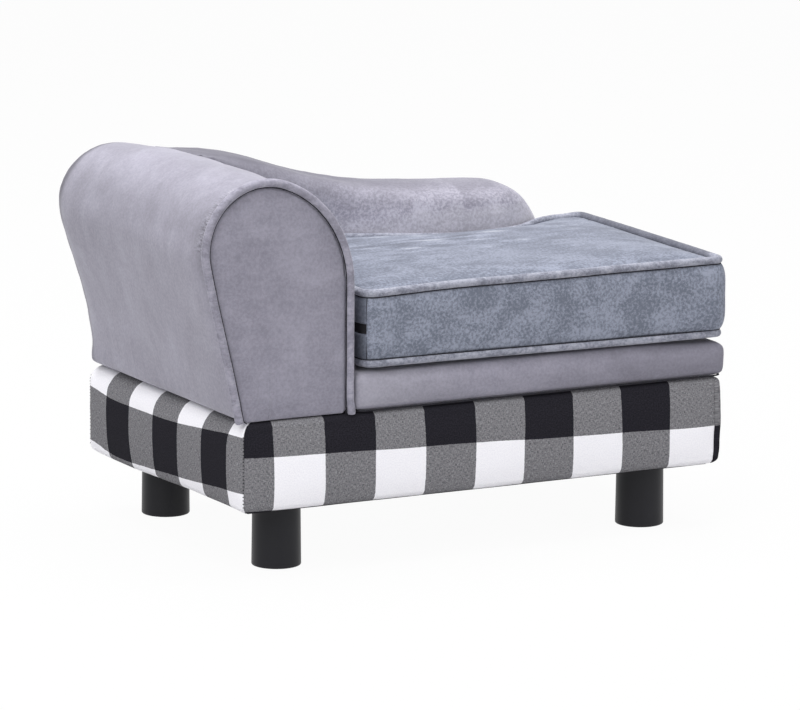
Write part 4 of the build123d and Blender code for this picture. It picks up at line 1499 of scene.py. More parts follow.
@dataclass
class Cushion:
    """The loose seat cushion: padded body with its zip slot, and two rings of piping."""

    dresser: Dresser
    bow: Bow
    piping: float = PIPING_RADIUS
    corners: tuple[float, ...] = (12 * MM, 7 * MM, 8 * MM, 8 * MM)
    bulge: float = 4.5 * MM
    end_bulge: float = 4.5 * MM
    crown: float = 7 * MM
    rear_press: float = 5 * MM
    rear_sink: float = 0.9 * MM
    front_dip: float = 2.6 * MM
    lower_lift: float = 3.2 * MM
    slot_cuts: tuple[float, ...] = (4.2 * MM, 4.9 * MM, 5.5 * MM, 8.0 * MM)
    seam_cuts: tuple[float, ...] = (-1.2 * MM, 0.0, 1.2 * MM)
    seam_press: float = 1.6 * MM
    shadow_cord_radius: float = 0.65 * MM
    upright_radius: float = 0.45 * MM
    seam_reach: float = 3.5 * MM
    pad_inset: float = 0.6 * MM
    pad_step: float = 6 * MM
    voxel: float = 5 * MM
    # Painted shade on the cushion's zip side, top, rims and far piping; the streaks are random.
    zip_side_painted_shade: float = -0.7
    streak_tone: float = 0.8
    top_painted_shade: float = -0.17
    rim_painted_shade: float = -0.1
    far_piping_painted_shade: float = -0.75

    def __post_init__(self) -> None:
        """Takes the cushion's places from the frame."""
        top_low, top_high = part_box("cushion_top_piping")
        self.left = top_low.x + self.piping
        self.right = top_high.x - self.piping
        self.front = top_low.y + self.piping
        self.rear = top_high.y - self.piping
        self.high = top_high.z - self.piping
        self.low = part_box("cushion_bottom_piping")[0].z + self.piping
        self.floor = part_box("deck_cover")[1].z + 0.4 * MM
        self.middle = (self.low + self.high) / 2
        self.look = Plush("seat_piping_plush", "989aa6", "6f717d", brush=34.0, contrast=(0.35, 0.65),
                          sheen=0.5, speckle=0.35).make()

    def plan(self, inset: float, spacing: float) -> list[Vector]:
        """Closed plan of the cushion.

        Args:
            inset: Distance inside the line of its piping.
            spacing: Distance between points.

        Returns:
            The plan's points, counter-clockwise from the front left.
        """
        x0, x1 = self.left + inset, self.right - inset
        y0, y1 = self.front + inset, self.rear - inset
        corners = [Vector((x0, y0)), Vector((x1, y0)), Vector((x1, y1)), Vector((x0, y1))]
        points = []
        for i, corner in enumerate(corners):
            points += rounded(corners[i - 1], corner, corners[(i + 1) % 4], self.corners[i] - inset)
        made = even(points, spacing, True)
        middle = (y0 + y1) / 2
        return [Vector((p.x, p.y - (self.bow.at(p.x) if p.y > middle else 0.0))) for p in made]

    def build(self) -> None:
        """Builds and dresses the cushion's pieces."""
        self.make_pad()
        self.make_piping("cushion_upper_piping", self.high, "cushion_top_piping")
        self.make_piping("cushion_lower_piping", self.low, "cushion_bottom_piping")
        # Dark cords along the crevices at both rings of piping and under the lower one: painted shadow.
        self.make_shadow_line("cushion_upper_shadow_line", self.high - self.piping * 0.96, -1.9 * MM)
        self.make_shadow_line("cushion_lower_shadow_line", self.low + self.piping * 0.96, -1.9 * MM)
        self.make_shadow_line("cushion_under_shadow_line", self.low - self.piping * 0.8, 1.2 * MM)
        self.make_upright_seam()

    def make_pad(self) -> None:
        """The padded body, drawn in at both lines of piping."""
        bm = drawn_through(self.plan(self.pad_inset, self.pad_step), self.low, self.high, Facing.TOP)
        piece = finished(bm, "cushion_pad")
        remeshed(piece, self.voxel)
        Filling(4.0, self.crown).puff(piece, self.sewn)
        smoothed(piece)
        reshape(piece, self.soft)
        self.open_zip(piece)
        paint_light_and_shade(piece, self.nap)
        rounder(piece)
        nodes = ["cushion_core", "cushion_top_panel", "cushion_bottom_panel", "cushion_boxing",
                 "cushion_zip_boxing"]
        self.dresser.dress(piece, Slot.SEAT_PLUSH, CUSHION, nodes)

    def sewn(self, point: Vector) -> bool:
        """Whether a point is on the seams under the piping."""
        near = min(abs(point.z - self.high), abs(point.z - self.low)) < self.seam_reach
        return near and self.edge_distance(point) < self.seam_reach

    def open_zip(self, piece: bpy.types.Object) -> None:
        """Opens a slot for the zip in the left side, hems its edges and presses in the upright seam.

        Args:
            piece: The cushion's body.
        """
        tape_low, tape_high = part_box("zip_tape")
        middle = (tape_low.z + tape_high.z) / 2
        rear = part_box("cushion_zip_boxing")[1].y
        hub = self.hub()
        bm = bmesh.new()
        bm.from_mesh(piece.data)
        for height in self.slot_cuts:
            for side in (-1, 1):
                self.cut_left(bm, Vector((0, 0, middle + side * height)), Vector((0, 0, 1)))
        for depth in self.seam_cuts:
            place = hub + Vector((-depth, depth, 0)) / math.sqrt(2)
            self.cut_left(bm, place, Vector((1, -1, 0)).normalized())
            self.cut_left(bm, Vector((0, rear - depth, 0)), Vector((0, 1, 0)))
        lip = self.slot_cuts[1] + 0.1 * MM
        for vertex in bm.verts:
            point = vertex.co
            past = self.past_seam(point)
            if point.x > self.left + 6 * MM or past < -3 * MM or point.y > rear + 3 * MM:
                continue
            way = Vector((point.x - hub.x, min(0.0, point.y - hub.y), 0.0))
            foot = Vector((hub.x, max(hub.y, point.y), point.z))
            span = way.length
            if span < self.corners[0] * 0.6:
                continue
            off = abs(point.z - middle)
            within = past > 1.1 * MM and point.y < rear - 1.2 * MM
            if off < lip and within:
                span = min(span, hub.x - tape_high.x - 0.3 * MM)
            elif off < self.slot_cuts[-1] + 0.1 * MM and within:
                span = max(span, hub.x - tape_low.x + 1.2 * MM)
            if min(abs(past), abs(point.y - rear)) < 0.7 * MM:
                span -= self.seam_press
            vertex.co = foot + way.normalized() * span
        bm.to_mesh(piece.data)
        bm.free()

    def hub(self) -> Vector:
        """Middle of the rounding of the front left corner."""
        return Vector((self.left + self.corners[0], self.front + self.corners[0], 0.0))

    def past_seam(self, point: Vector) -> float:
        """How far a point of the left side is behind the upright seam at the front corner."""
        hub = self.hub()
        return ((point.y - hub.y) - (point.x - hub.x)) / math.sqrt(2)

    def cut_left(self, bm: bmesh.types.BMesh, place: Vector, normal: Vector) -> None:
        """Cuts the faces of the left side along a plane."""
        verts = [v for v in bm.verts if v.co.x < self.left + 5 * MM]
        chosen = set(verts)
        edges = [e for e in bm.edges if chosen.issuperset(e.verts)]
        faces = [f for f in bm.faces if chosen.issuperset(f.verts)]
        bmesh.ops.bisect_plane(bm, geom=verts + edges + faces, dist=0.05 * MM,
                               plane_co=place, plane_no=normal)

    def edge_distance(self, point: Vector) -> float:
        """About how far a point is inside the plan's border."""
        rear = self.rear - self.bow.at(point.x)
        return min(point.x - self.left, self.right - point.x, point.y - self.front, rear - point.y)

    def soft(self, point: Vector, normal: Vector) -> Vector:
        """Keeps the body within its room and lets its rear edge dip under the back.

        Args:
            point: A point of the body.
            normal: Its normal.

        Returns:
            The point's new place.
        """
        moved = point + normal * cloth_noise(point, 65 * MM, 31.0) * 1.0 * MM
        level = (point.z - self.middle) / (self.high - self.middle)
        if abs(level) < 1.0:
            off, outward = self.outside(point)
            full = self.bulge + self.end_bulge * step((point.x - self.right + 60 * MM) / (60 * MM))
            goal = full * (1 - level ** 4) * (1 + 0.12 * cloth_noise(point, 40 * MM, 33.0))
            if -6 * MM < off < goal:
                moved += outward * (goal - off) * step((1 - abs(level)) / 0.12)
        rear = self.rear - self.bow.at(point.x)
        share = min(max((point.z - self.low) / (self.high - self.low), 0.0), 1.0)
        inside = max(0.0, self.edge_distance(point))
        moved.z += self.lower_shift(point) * (1 - share) * math.exp(-inside / (12 * MM))
        moved.z += self.upper_shift(point) * share * math.exp(-inside / (26 * MM))
        moved.z = min(max(moved.z, self.floor), self.high + self.crown + 1 * MM)
        moved.x = min(max(moved.x, self.left - self.bulge), self.right + self.bulge + self.end_bulge)
        moved.y = min(max(moved.y, self.front - self.bulge - self.end_bulge), rear + self.bulge)
        return moved

    def upper_shift(self, point: Vector) -> float:
        """Height that the upper edge gains: it dips at the front left and under the back.

        Args:
            point: A place on the edge.

        Returns:
            The gain, below zero.
        """
        rear = self.rear - self.bow.at(point.x)
        near = 1 - step((rear - point.y) / (24 * MM))
        press = step((point.x + 10 * MM) / (180 * MM)) * (1 - step((point.x - 205 * MM) / (42 * MM)))
        left = 1 - step((point.x - self.left) / (130 * MM))
        front = 1 - step((point.y - self.front) / (90 * MM))
        return -self.rear_press * press * near - self.front_dip * left * front

    def lower_shift(self, point: Vector) -> float:
        """Height that the lower edge gains at a place: it lifts off the deck towards the left."""
        return self.lower_lift * (1 - step((point.x - self.left) / (self.right - self.left)))

    def outside(self, point: Vector) -> tuple[float, Vector]:
        """How far a point is outside the plan, and which way is outward there.

        Args:
            point: The point.

        Returns:
            The distance and the outward way.
        """
        centre = Vector(((self.left + self.right) / 2, (self.front + self.rear) / 2))
        shift = self.bow.at(point.x) if point.y > centre.y else 0.0
        place = Vector((point.x, point.y + shift)) - centre
        corner = self.corners[(0 if place.x < 0 else 1) if place.y < 0 else (3 if place.x < 0 else 2)]
        inner = Vector(((self.right - self.left) / 2, (self.rear - self.front) / 2)) - Vector((1, 1)) * corner
        over = Vector((abs(place.x) - inner.x, abs(place.y) - inner.y))
        sign = Vector((math.copysign(1, place.x), math.copysign(1, place.y)))
        if over.x > 0 and over.y > 0:
            flat = over.normalized()
            return over.length - corner, Vector((flat.x * sign.x, flat.y * sign.y, 0))
        if over.x > over.y:
            return over.x - corner, Vector((sign.x, 0, 0))
        return over.y - corner, Vector((0, sign.y, 0))

    def nap(self, point: Vector) -> float:
        """Painted shade, with random streaks: darker on the left side, where the zip is, over the whole top and
        along the edges of the top.

        Args:
            point: A point of the body.

        Returns:
            The painted tone, from -1 to 1.
        """
        inside = max(0.0, self.edge_distance(point))
        if inside < 7 * MM and point.z < self.high:
            if point.x >= self.left + 7 * MM:
                return 0.0
            return self.zip_side_painted_shade * step((self.past_seam(point) + 0.4 * MM) / (0.8 * MM))
        streaks = noise.noise(Vector((point.x / (42 * MM), point.y / (8 * MM), 7.0)))
        rear_left = step((point.y + 90 * MM) / (90 * MM)) * (1 - 0.6 * step((point.x - 60 * MM) / (180 * MM)))
        streaked = self.streak_tone * streaks * (0.25 + 0.75 * rear_left)
        return streaked + self.top_painted_shade + self.rim_painted_shade * math.exp(-inside / (9 * MM))

    def make_shadow_line(self, name: str, height: float, inset: float) -> None:
        """A dark cord where a panel meets a ring of piping: painted shadow for the crevice there.

        Args:
            name: The line's name.
            height: Its height before the edge's own dips.
            inset: Distance inside the line of the piping.
        """
        path = [self.along_edge(point, height) for point in self.plan(inset, 4 * MM)]
        self.dresser.lay_dark_line(name, path, self.shadow_cord_radius, CUSHION, closed=True)

    def make_upright_seam(self) -> None:
        """Thread of the upright seam at the front left corner, above and below the zip."""
        hub = self.hub()
        reach = self.corners[0] + self.bulge - self.seam_press + 0.3 * MM
        place = Vector((hub.x, hub.y)) - Vector((1, 1)).normalized() * reach
        tape_low, tape_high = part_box("zip_tape")
        under, over = self.low + self.piping * 1.6, self.high - self.piping * 1.6
        for i, (start, end) in enumerate(((under, tape_low.z - 1 * MM), (tape_high.z + 1 * MM, over))):
            path = []
            for k in range(9):
                z = start + (end - start) * k / 8
                level = (z - self.middle) / (self.high - self.middle)
                inward = self.bulge * level ** 4 / math.sqrt(2)
                path.append(Vector((place.x + inward, place.y + inward, z)))
            self.dresser.lay_dark_line(f"zip_side_seam_{i + 1}", path, self.upright_radius, CUSHION)

    def along_edge(self, point: Vector, height: float) -> Vector:
        """A point of the plan at the height of its edge.

        Args:
            point: The point, in the plan.
            height: The height before the edge's own dips.

        Returns:
            The place in space.
        """
        if height < self.middle:
            return Vector((point.x, point.y, height + self.lower_shift(point)))
        rear = self.rear - self.bow.at(point.x)
        near = 1 - step((rear - point.y) / (20 * MM))
        shift = self.upper_shift(point)
        shift -= self.rear_sink * near * (1 - step((point.x - self.right + 22 * MM) / (14 * MM)))
        shift += cloth_noise(Vector((point.x, point.y, 0.28)), 80 * MM, 41.0) * 0.8 * MM
        return Vector((point.x, point.y, height + shift))

    def make_piping(self, name: str, height: float, node: str) -> None:
        """One ring of piping, with painted shade along its far side.

        Args:
            name: The piece's name.
            height: Its height before the edge's own dips.
            node: The node that it stands for.
        """
        path = [self.along_edge(point, height) for point in self.plan(0.0, 4 * MM)]
        piece = tube(name, path, self.piping, True)
        paint_light_and_shade(piece, lambda point: self.far_piping_painted_shade * step((point.x - self.right + 7 * MM) / (4 * MM))
                * step((point.y - self.front - 14 * MM) / (14 * MM)))
        self.dresser.dress(piece, Slot.PIPING, CUSHION, [node], self.look)


@dataclass
class Zip:
    """The closed zip in the cushion's left side: woven tape and its two rows of coil turns."""

    dresser: Dresser
    pitch: float = 2.3 * MM
    wire: float = 0.85 * MM
    reach: float = 14.4 * MM
    bend: float = 12 * MM
    cord: float = PIPING_RADIUS
    coil_turn: float = math.radians(9)
    weave_levels: tuple[float, ...] = (0.12, 0.38, 0.62, 0.88)
    tape_parts: int = 60
    tape_wander: float = 0.15 * MM

    def build(self) -> None:
        """Builds the coils and the tape."""
        self.make_coils()
        self.make_tape()

    def make_coils(self) -> None:
        """The turns of both coils, leaning towards each other."""
        low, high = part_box("zip_coils")
        middle = (low + high) / 2
        wide = high - low
        bm = bmesh.new()
        for i in range(round(wide.y / self.pitch)):
            for side in (-1, 1):
                along = low.y + (i + 0.5 + side * 0.25) * self.pitch
                place = Matrix.Translation(Vector((middle.x, along, middle.z + side * wide.z / 5)))
                turn = Matrix.Rotation(side * self.coil_turn, 4, "X")
                size = Matrix.Diagonal(Vector((wide.x * 0.9, self.wire, wide.z * 0.56))).to_4x4()
                bmesh.ops.create_cube(bm, size=1.0, matrix=place @ turn @ size)
        piece = finished(bm, "zip_coil_turns")
        self.dresser.dress(piece, Slot.ZIP_COIL, CUSHION, ["zip_coils"])

    def make_tape(self) -> None:
        """The woven tape, with a raised edge along each coil, bent round the cushion's corner."""
        low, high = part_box("zip_tape")
        low.y -= self.reach
        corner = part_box("cushion_top_piping")[0]
        hub = Vector((corner.x + self.cord + self.bend, corner.y + self.cord + self.bend))
        bm = box_body(low, high, 0.0, 0.0, 0.0)
        for share in self.weave_levels:
            cut_across(bm, low.lerp(high, share), Vector((0, 0, 1)))
        cut_even(bm, low, high, 1, self.tape_parts)
        for vertex in bm.verts:
            vertex.co.x += self.tape_wander * cloth_noise(vertex.co, 12 * MM, 61.0)
            before = hub.y - vertex.co.y
            if before > 0:
                span = hub.x - vertex.co.x
                vertex.co.x = hub.x - span * math.cos(before / span)
                vertex.co.y = hub.y - span * math.sin(before / span)
        piece = finished(bm, "zip_tape_cloth")
        self.dresser.dress(piece, Slot.ZIP_TAPE, CUSHION, ["zip_tape"])


@dataclass
class DustCover:
    """The black cloth stapled under the base."""

    dresser: Dresser
    sag: float = 0.3 * MM
    grid: float = 25 * MM

    def build(self) -> None:
        """Builds the cover from its own outline, slack between its staples."""
        low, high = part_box("base_dust_cover")
        bm = bmesh.new()
        bm.from_mesh(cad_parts["base_dust_cover"].data)
        for axis in range(2):
            cut_even(bm, low, high, axis, round((high[axis] - low[axis]) / self.grid))
        for vertex in bm.verts:
            vertex.co.z -= self.sag * (0.5 + cloth_noise(vertex.co, 50 * MM, 71.0))
        piece = finished(bm, "dust_cover_cloth")
        self.dresser.dress(piece, Slot.NONWOVEN, SOFA, ["base_dust_cover"])


@dataclass
class Plinth:
    """The padded base with its four plaid panels."""

    dresser: Dresser
    top_round: float = 12 * MM
    bottom_round: float = 8 * MM
    end_swell: float = 3.2 * MM
    right_swell: float = 5 * MM
    left_round: float = 20 * MM
    right_round: float = 6 * MM
    front_round: float = 9 * MM
    rear_sag: float = 6 * MM
    rear_settle: float = 4 * MM
    right_push: float = 3.2 * MM
    left_wave: float = 4.6 * MM
    front_swell: float = 0.8 * MM
    turn_in: float = 26 * MM
    grid: float = 6 * MM
    square: float = 57.2 * MM
    seam_depth: float = 2.5 * MM
    stitch_pitch: float = 3.6 * MM
    stitch_inset: float = 0.5 * MM
    stitch_size: tuple[float, float, float] = (0.45 * MM, 1.0 * MM, 0.5 * MM)
    stitch_wander: float = 0.1 * MM
    hold: float = 3 * MM
    filling: Filling = Filling(4.0, 2.2 * MM)
    front_scale: float = 0.994
    front_start: float = 33.9 * MM
    front_rise: float = 0.0325
    front_level: float = 126.4 * MM
    left_start: float = 30.2 * MM
    left_rise: float = 0.042
    left_level: float = 146.9 * MM
    right_start: float = 26.0 * MM
    right_rise: float = 0.02
    right_level: float = 108.5 * MM
    rear_level: float = 120 * MM

    def __post_init__(self) -> None:
        """Takes the base's places from the frame."""
        lows, highs = zip(*[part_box(f"plaid_{side}_panel") for side in ("front", "rear", "left", "right")])
        inset = Vector((0.3 * MM, 1.2 * MM, 0))
        self.low = Vector([min(v[i] for v in lows) for i in range(3)]) + inset
        self.high = Vector([max(v[i] for v in highs) for i in range(3)]) - inset

    def build(self) -> None:
        """Builds the padded body once and cuts it into its panels."""
        bm = box_body(self.low, self.high, 0.0, self.top_round, self.bottom_round)
        for axis in range(3):
            cut_even(bm, self.low, self.high, axis, round((self.high[axis] - self.low[axis]) / self.grid))
        body = finished(bm, "plaid_body")
        sides = [self.panel_of(polygon.center) for polygon in body.data.polygons]
        self.unroll(body, sides)
        self.filling.puff(body, self.held)
        reshape(body, self.bulged)
        for side in ("front", "right", "rear", "left"):
            self.make_panel(body, sides, side)
        bpy.data.objects.remove(body)
        self.make_stitches()
        self.dresser.recut("base_top_panel", "base_top_plywood", self.planed)

    def held(self, point: Vector) -> bool:
        """Whether the cloth is sewn, nailed or covered at a point."""
        between = self.low.z + 8 * MM < point.z < self.high.z - 8 * MM
        return self.corner_distance(point) < self.hold or not between

    def planed(self, point: Vector) -> Vector:
        """Takes the left edge of the base's top board down under the rounded cloth."""
        moved = point.copy()
        moved.x += self.rerounded(point.z, self.gaps(point)["left"], self.left_round)
        if point.z > self.high.z - 5 * MM:
            moved.z -= self.settled(point)
        return moved

    def settled(self, point: Vector) -> float:
        """How far the top of the left side sinks at a point, more towards the rear."""
        level = (point.z - self.low.z) / (self.high.z - self.low.z)
        over = step(level * 2 - 1) * (1 - step(self.gaps(point)["left"] / (80 * MM)))
        return self.rear_settle * step((point.y - self.low.y) / (self.high.y - self.low.y)) * over

    def make_stitches(self) -> None:
        """Short stitches across the four corner seams."""
        bm = bmesh.new()
        count = int((self.high.z - self.low.z - self.top_round - self.bottom_round) / self.stitch_pitch)
        for x, y, turn in ((self.low.x, self.low.y, 45), (self.high.x - self.grid, self.low.y, 0),
                           (self.low.x, self.high.y, -45), (self.high.x, self.high.y, 45)):
            for i in range(count + 1):
                place = Vector((x - math.copysign(self.stitch_inset, x), y - math.copysign(self.stitch_inset, y),
                                self.low.z + self.bottom_round + i * self.stitch_pitch))
                place.x += self.stitch_wander * noise.noise(place * 900)
                matrix = Matrix.Translation(self.sagged(place)) @ Matrix.Rotation(math.radians(turn), 4, "Z")
                matrix @= Matrix.Diagonal(Vector(self.stitch_size)).to_4x4()
                bmesh.ops.create_uvsphere(bm, u_segments=6, v_segments=4, radius=1.0, matrix=matrix)
        piece = finished(bm, "corner_seam_stitches")
        self.dresser.dress(piece, Slot.PLAID, SOFA, [], self.dresser.dark_stitch_and_shadow_line)

    def bulged(self, point: Vector, normal: Vector) -> Vector:
        """Swells the end panels between their seams, with soft unevenness everywhere else.

        Args:
            point: A point of the body.
            normal: Its normal.

        Returns:
            The point's new place.
        """
        off = self.corner_distance(point)
        if off < 0.5 * MM:
            return self.sagged(point)
        level = (point.z - self.low.z) / (self.high.z - self.low.z)
        share = belly(level, 0.5) * (1 - math.exp(-off / (11 * MM)))
        side = self.side_of(point)
        swell = {"left": self.end_swell, "right": self.right_swell}.get(side, self.front_swell)
        ripple = cloth_noise(point, 60 * MM, 51.0) * 0.6 * MM * min(1.0, off / (12 * MM))
        return self.sagged(point + Vector((normal.x, normal.y, 0)) * swell * share + normal * ripple)

    def sagged(self, point: Vector) -> Vector:
        """Gives each side its own rounding along the top and lets the left side hang lower at the rear.

        Args:
            point: A point of the body.

        Returns:
            Its new place.
        """
        moved = point.copy()
        gaps = self.gaps(point)
        along = step((point.y - self.low.y) / (45 * MM))
        left = self.rerounded(point.z, gaps["left"], self.left_round) * along
        right = self.rerounded(point.z, gaps["right"], self.right_round)
        moved.x += left - right
        moved.y += self.rerounded(point.z, gaps["front"], self.front_round)
        back = step((point.y - self.low.y - 80 * MM) / (220 * MM))
        under = (1 - step((point.z - self.low.z) / (24 * MM))) * (1 - step(gaps["left"] / self.turn_in))
        moved.z -= self.rear_sag * back * under
        level = (point.z - self.low.z) / (self.high.z - self.low.z)
        moved.z -= self.settled(point)
        moved.x += self.right_push * belly(level, 0.3) * (1 - step(gaps["right"] / (14 * MM)))
        return moved

    def rerounded(self, height: float, gap: float, radius: float) -> float:
        """How far inward a point goes so that a top edge has another rounding.

        Args:
            height: The point's height.
            gap: How far it is inside the side.
            radius: The edge's new radius.

        Returns:
            The distance.
        """
        now = self.inset_at(height, self.top_round)
        return (self.inset_at(height, radius) - now) * (1 - step((gap - now) / (2 * radius)))

    def inset_at(self, height: float, radius: float) -> float:
        """Inset of a rounded top edge at a height."""
        rise = min(max(height - self.high.z + radius, 0.0), radius)
        return radius - math.sqrt(radius * radius - rise * rise)

    def gaps(self, point: Vector) -> dict[str, float]:
        """How far a point is inside each side of the base."""
        return {
            "front": point.y - self.low.y,
            "rear": self.high.y - point.y,
            "left": point.x - self.low.x,
            "right": self.high.x - point.x,
        }

    def side_of(self, point: Vector) -> str:
        """The panel that a point belongs to."""
        gaps = self.gaps(point)
        return min(gaps, key=gaps.get)

    def panel_of(self, point: Vector) -> str:
        """The panel whose cloth covers a point; the right one wraps round the front corner."""
        return "right" if self.gaps(point)["right"] < self.grid else self.side_of(point)

    def corner_distance(self, point: Vector) -> float:
        """How far a point is from the nearest corner seam."""
        gaps = sorted(self.gaps(point).values())
        return (gaps[1] - gaps[0]) / math.sqrt(2)

    def unroll(self, body: bpy.types.Object, sides: Sequence[str]) -> None:
        """Lays the plaid on the cloth: along each side, and over its rounded edges.

        Args:
            body: The base's body.
            sides: The panel of each of its faces.
        """
        layer = body.data.uv_layers.new(name="cloth")
        for polygon, side in zip(body.data.polygons, sides):
            for loop in polygon.loop_indices:
                point = body.data.vertices[body.data.loops[loop].vertex_index].co
                layer.data[loop].uv = self.laid(point, side)

    def laid(self, point: Vector, side: str) -> tuple[float, float]:
        """Place of a point on the flat cloth of its panel.

        Args:
            point: The point.
            side: The panel.

        Returns:
            The place along and up the cloth, in metres.
        """
        inside = self.gaps(point)[side]
        height = point.z
        top = self.high.z - self.top_round
        bottom = self.low.z + self.bottom_round
        if point.z > top:
            height = top + self.rolled(point.z - top, self.top_round, inside)
        elif point.z < bottom:
            height = bottom - self.rolled(bottom - point.z, self.bottom_round, inside)
        if side == "front":
            along = point.x - self.low.x
            along = along * self.front_scale + 4.6 * MM * step((along - 500 * MM) / (45 * MM))
            return along - self.front_start, height - self.square - self.front_level + along * self.front_rise
        if side == "rear":
            return self.high.x - point.x - self.front_start, height - self.rear_level
        along = point.y - self.low.y
        if side == "right":
            return along - self.right_start, height - self.right_level + along * self.right_rise
        height += self.left_wave * belly((along - 40 * MM) / (310 * MM), 1.0)
        height -= 4.2 * MM * step((along - 300 * MM) / (61 * MM))
        return along - self.left_start + self.square, height - self.left_level + along * self.left_rise

    def rolled(self, rise: float, radius: float, inside: float) -> float:
        """Length of cloth over a rounded edge up to a point on it.

        Args:
            rise: The point's height above the start of the rounding.
            radius: The edge's radius.
            inside: How far the point is inside the side.

        Returns:
            The length.
        """
        if inside >= radius:
            return radius * math.pi / 2 + inside - radius
        return radius * math.atan2(rise, radius - inside)

    def make_panel(self, body: bpy.types.Object, sides: Sequence[str], side: str) -> None:
        """Cuts one panel from the body and turns its edges in at the seams.

        Args:
            body: The base's body.
            sides: The panel of each of its faces.
            side: The panel to make.
        """
        bm = bmesh.new()
        bm.from_mesh(body.data)
        bm.faces.ensure_lookup_table()
        away = [face for face, its_side in zip(bm.faces, sides)
                if its_side != side or self.gaps(face.calc_center_median())[side] > self.turn_in]
        bmesh.ops.delete(bm, geom=away, context="FACES")
        rim = [edge for edge in bm.edges if edge.is_boundary]
        made = bmesh.ops.extrude_edge_only(bm, edges=rim)["geom"]
        centre = (self.low + self.high) / 2
        for vertex in [item for item in made if isinstance(item, bmesh.types.BMVert)]:
            inward = centre - vertex.co
            inward.z = 0.0 if abs(vertex.co.z - centre.z) < (self.high.z - self.low.z) * 0.45 else inward.z
            bmesh.ops.translate(bm, verts=[vertex], vec=inward.normalized() * self.seam_depth)
        piece = finished(bm, f"plaid_{side}_cloth")
        rounder(piece)
        nodes = [f"plaid_{side}_panel"] + (["base_padding"] if side == "front" else [])
        self.dresser.dress(piece, Slot.PLAID, SOFA, nodes)


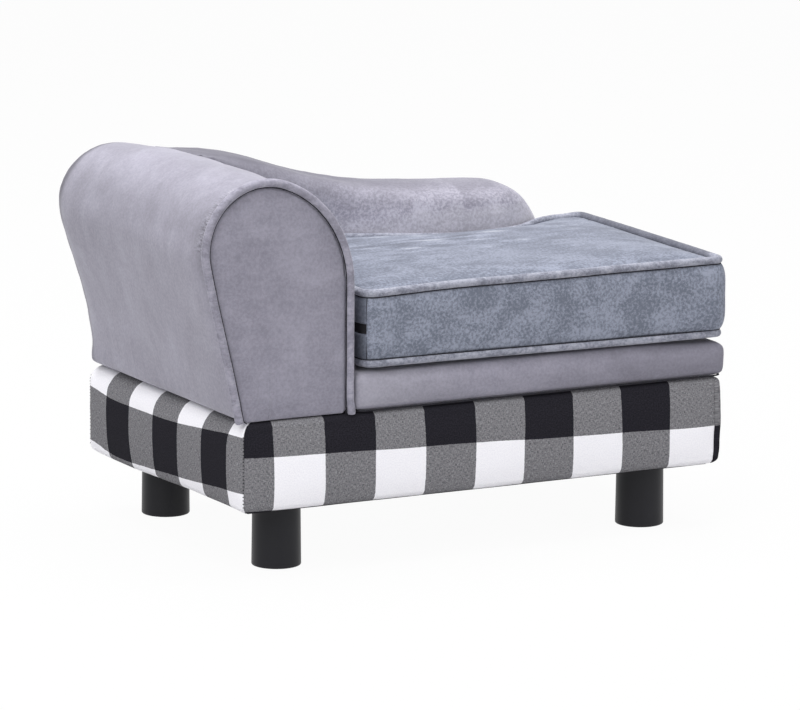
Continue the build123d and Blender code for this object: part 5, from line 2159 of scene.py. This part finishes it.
@dataclass
class Studio:
    """Floor, lamps and the camera at the photograph's angle."""

    azimuth: float = math.radians(27.80)
    elevation: float = math.radians(11.36)
    roll: float = math.radians(0.389)
    distance: float = 5332.6 * MM
    focal_pixels: float = 5800.0
    target: tuple[float, float, float] = (-330.5 * MM, -656.5 * MM, 324.0 * MM)
    image_width: float = 800.0
    sensor: float = 36.0
    floor_size: float = 30.0
    floor_tones: tuple[str, str] = ("c4c4c4", "c8c8c8")
    floor_glow: float = 0.96
    surround: float = 0.49
    aim: tuple[float, float, float] = (0.0, 0.0, 0.2)

    def build(self) -> None:
        """Builds the studio round the sofa."""
        scene = bpy.context.scene
        scene.view_settings.view_transform = "Standard"
        self.make_camera()
        self.make_floor()
        self.make_world()
        self.lamp("key", Vector((-2.4, -1.6, 2.4)), 2.2, 66.0)
        self.lamp("fill", Vector((1.6, -3.0, 1.6)), 2.6, 27.0)
        self.lamp("top", Vector((0.0, 0.3, 2.8)), 2.4, 106.0)

    def make_camera(self) -> None:
        """Camera at the photograph's viewing angle."""
        data = bpy.data.cameras.new("camera")
        data.sensor_width = self.sensor
        data.lens = self.focal_pixels * self.sensor / self.image_width
        data.clip_end = 100.0
        camera = bpy.data.objects.new("camera", data)
        bpy.context.scene.collection.objects.link(camera)
        level = math.cos(self.elevation)
        back = Vector((-math.sin(self.azimuth) * level, -math.cos(self.azimuth) * level,
                       math.sin(self.elevation)))
        turn = back.to_track_quat("Z", "Y").to_matrix() @ Matrix.Rotation(self.roll, 3, "Z")
        camera.matrix_world = Matrix.Translation(Vector(self.target) + back * self.distance) @ turn.to_4x4()
        bpy.context.scene.camera = camera

    def make_floor(self) -> None:
        """Plain pale floor that keeps the sofa's shadow and shows white to the camera."""
        bm = bmesh.new()
        bmesh.ops.create_grid(bm, x_segments=2, y_segments=2, size=self.floor_size)
        floor = finished(bm, "floor")
        shader = Shader("pale_floor", {"Roughness": 0.9, "Specular IOR Level": 0.1})
        tree = shader.tree
        cloud = shader.noise(shader.place(), 3.0)
        shader.feed("Base Color", shader.mix(cloud, *map(linear, self.floor_tones)))
        rays = shader.add("LightPath", {}, {})
        seen = shader.out(rays, "Is Camera Ray")
        shown = seen.math("MAXIMUM", seen, shader.out(rays, "Is Glossy Ray"))
        glow = shader.add("Emission", {}, {"Strength": 1.0})
        both = shader.add("MixShader", {}, {0: shown * self.floor_glow})
        tree.links.new(shader.surface.outputs[0], both.inputs[1])
        tree.links.new(glow.outputs[0], both.inputs[2])
        tree.links.new(both.outputs[0], tree.nodes["Material Output"].inputs["Surface"])
        floor.data.materials.append(shader.material)

    def make_world(self) -> None:
        """White surroundings for the camera, soft grey light for the sofa."""
        world = bpy.data.worlds.new("surroundings")
        bpy.context.scene.world = world
        world.use_nodes = True
        tree = world.node_tree
        light = tree.nodes["Background"]
        light.inputs["Color"].default_value = (1.0, 1.0, 1.0, 1.0)
        light.inputs["Strength"].default_value = self.surround
        seen = tree.nodes.new("ShaderNodeBackground")
        rays = tree.nodes.new("ShaderNodeLightPath")
        both = tree.nodes.new("ShaderNodeMixShader")
        tree.links.new(rays.outputs["Is Camera Ray"], both.inputs[0])
        tree.links.new(light.outputs[0], both.inputs[1])
        tree.links.new(seen.outputs[0], both.inputs[2])
        tree.links.new(both.outputs[0], tree.nodes["World Output"].inputs["Surface"])

    def lamp(self, name: str, place: Vector, size: float, power: float) -> None:
        """Soft square lamp turned to the sofa.

        Args:
            name: Its name.
            place: Its place.
            size: Its side.
            power: Its power in watts.
        """
        data = bpy.data.lights.new(name, "AREA")
        data.size = size
        data.energy = power
        lamp = bpy.data.objects.new(name, data)
        bpy.context.scene.collection.objects.link(lamp)
        aim = Vector(self.aim) - place
        lamp.matrix_world = Matrix.Translation(place) @ aim.to_track_quat("-Z", "Y").to_matrix().to_4x4()


def main() -> None:
    """Builds every sub-assembly, then the studio."""
    logging.basicConfig(level=logging.INFO, format="%(name)s: %(message)s")
    # Dark cord look: real stitching, and painted shadow lines in crevices.
    dark_stitch_and_shadow_line = Grained("dark_stitch_and_shadow_line_cloth", "26252c", "1a191f", 900.0, rough=0.9).make()
    dresser = Dresser(finishes(), dark_stitch_and_shadow_line)
    dresser.repaint_nodes()
    cushion_low, cushion_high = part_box("cushion_top_piping")
    bow = Bow(cushion_low.x + BOW_ENDS[0], cushion_high.x - BOW_ENDS[1])
    Plinth(dresser).build()
    Deck(dresser).build()
    arm = Arm(dresser)
    arm.build()
    Back(dresser, bow, arm).build()
    Cushion(dresser, bow).build()
    Zip(dresser).build()
    DustCover(dresser).build()
    Studio().build()


if __name__ == "__main__":
    main()
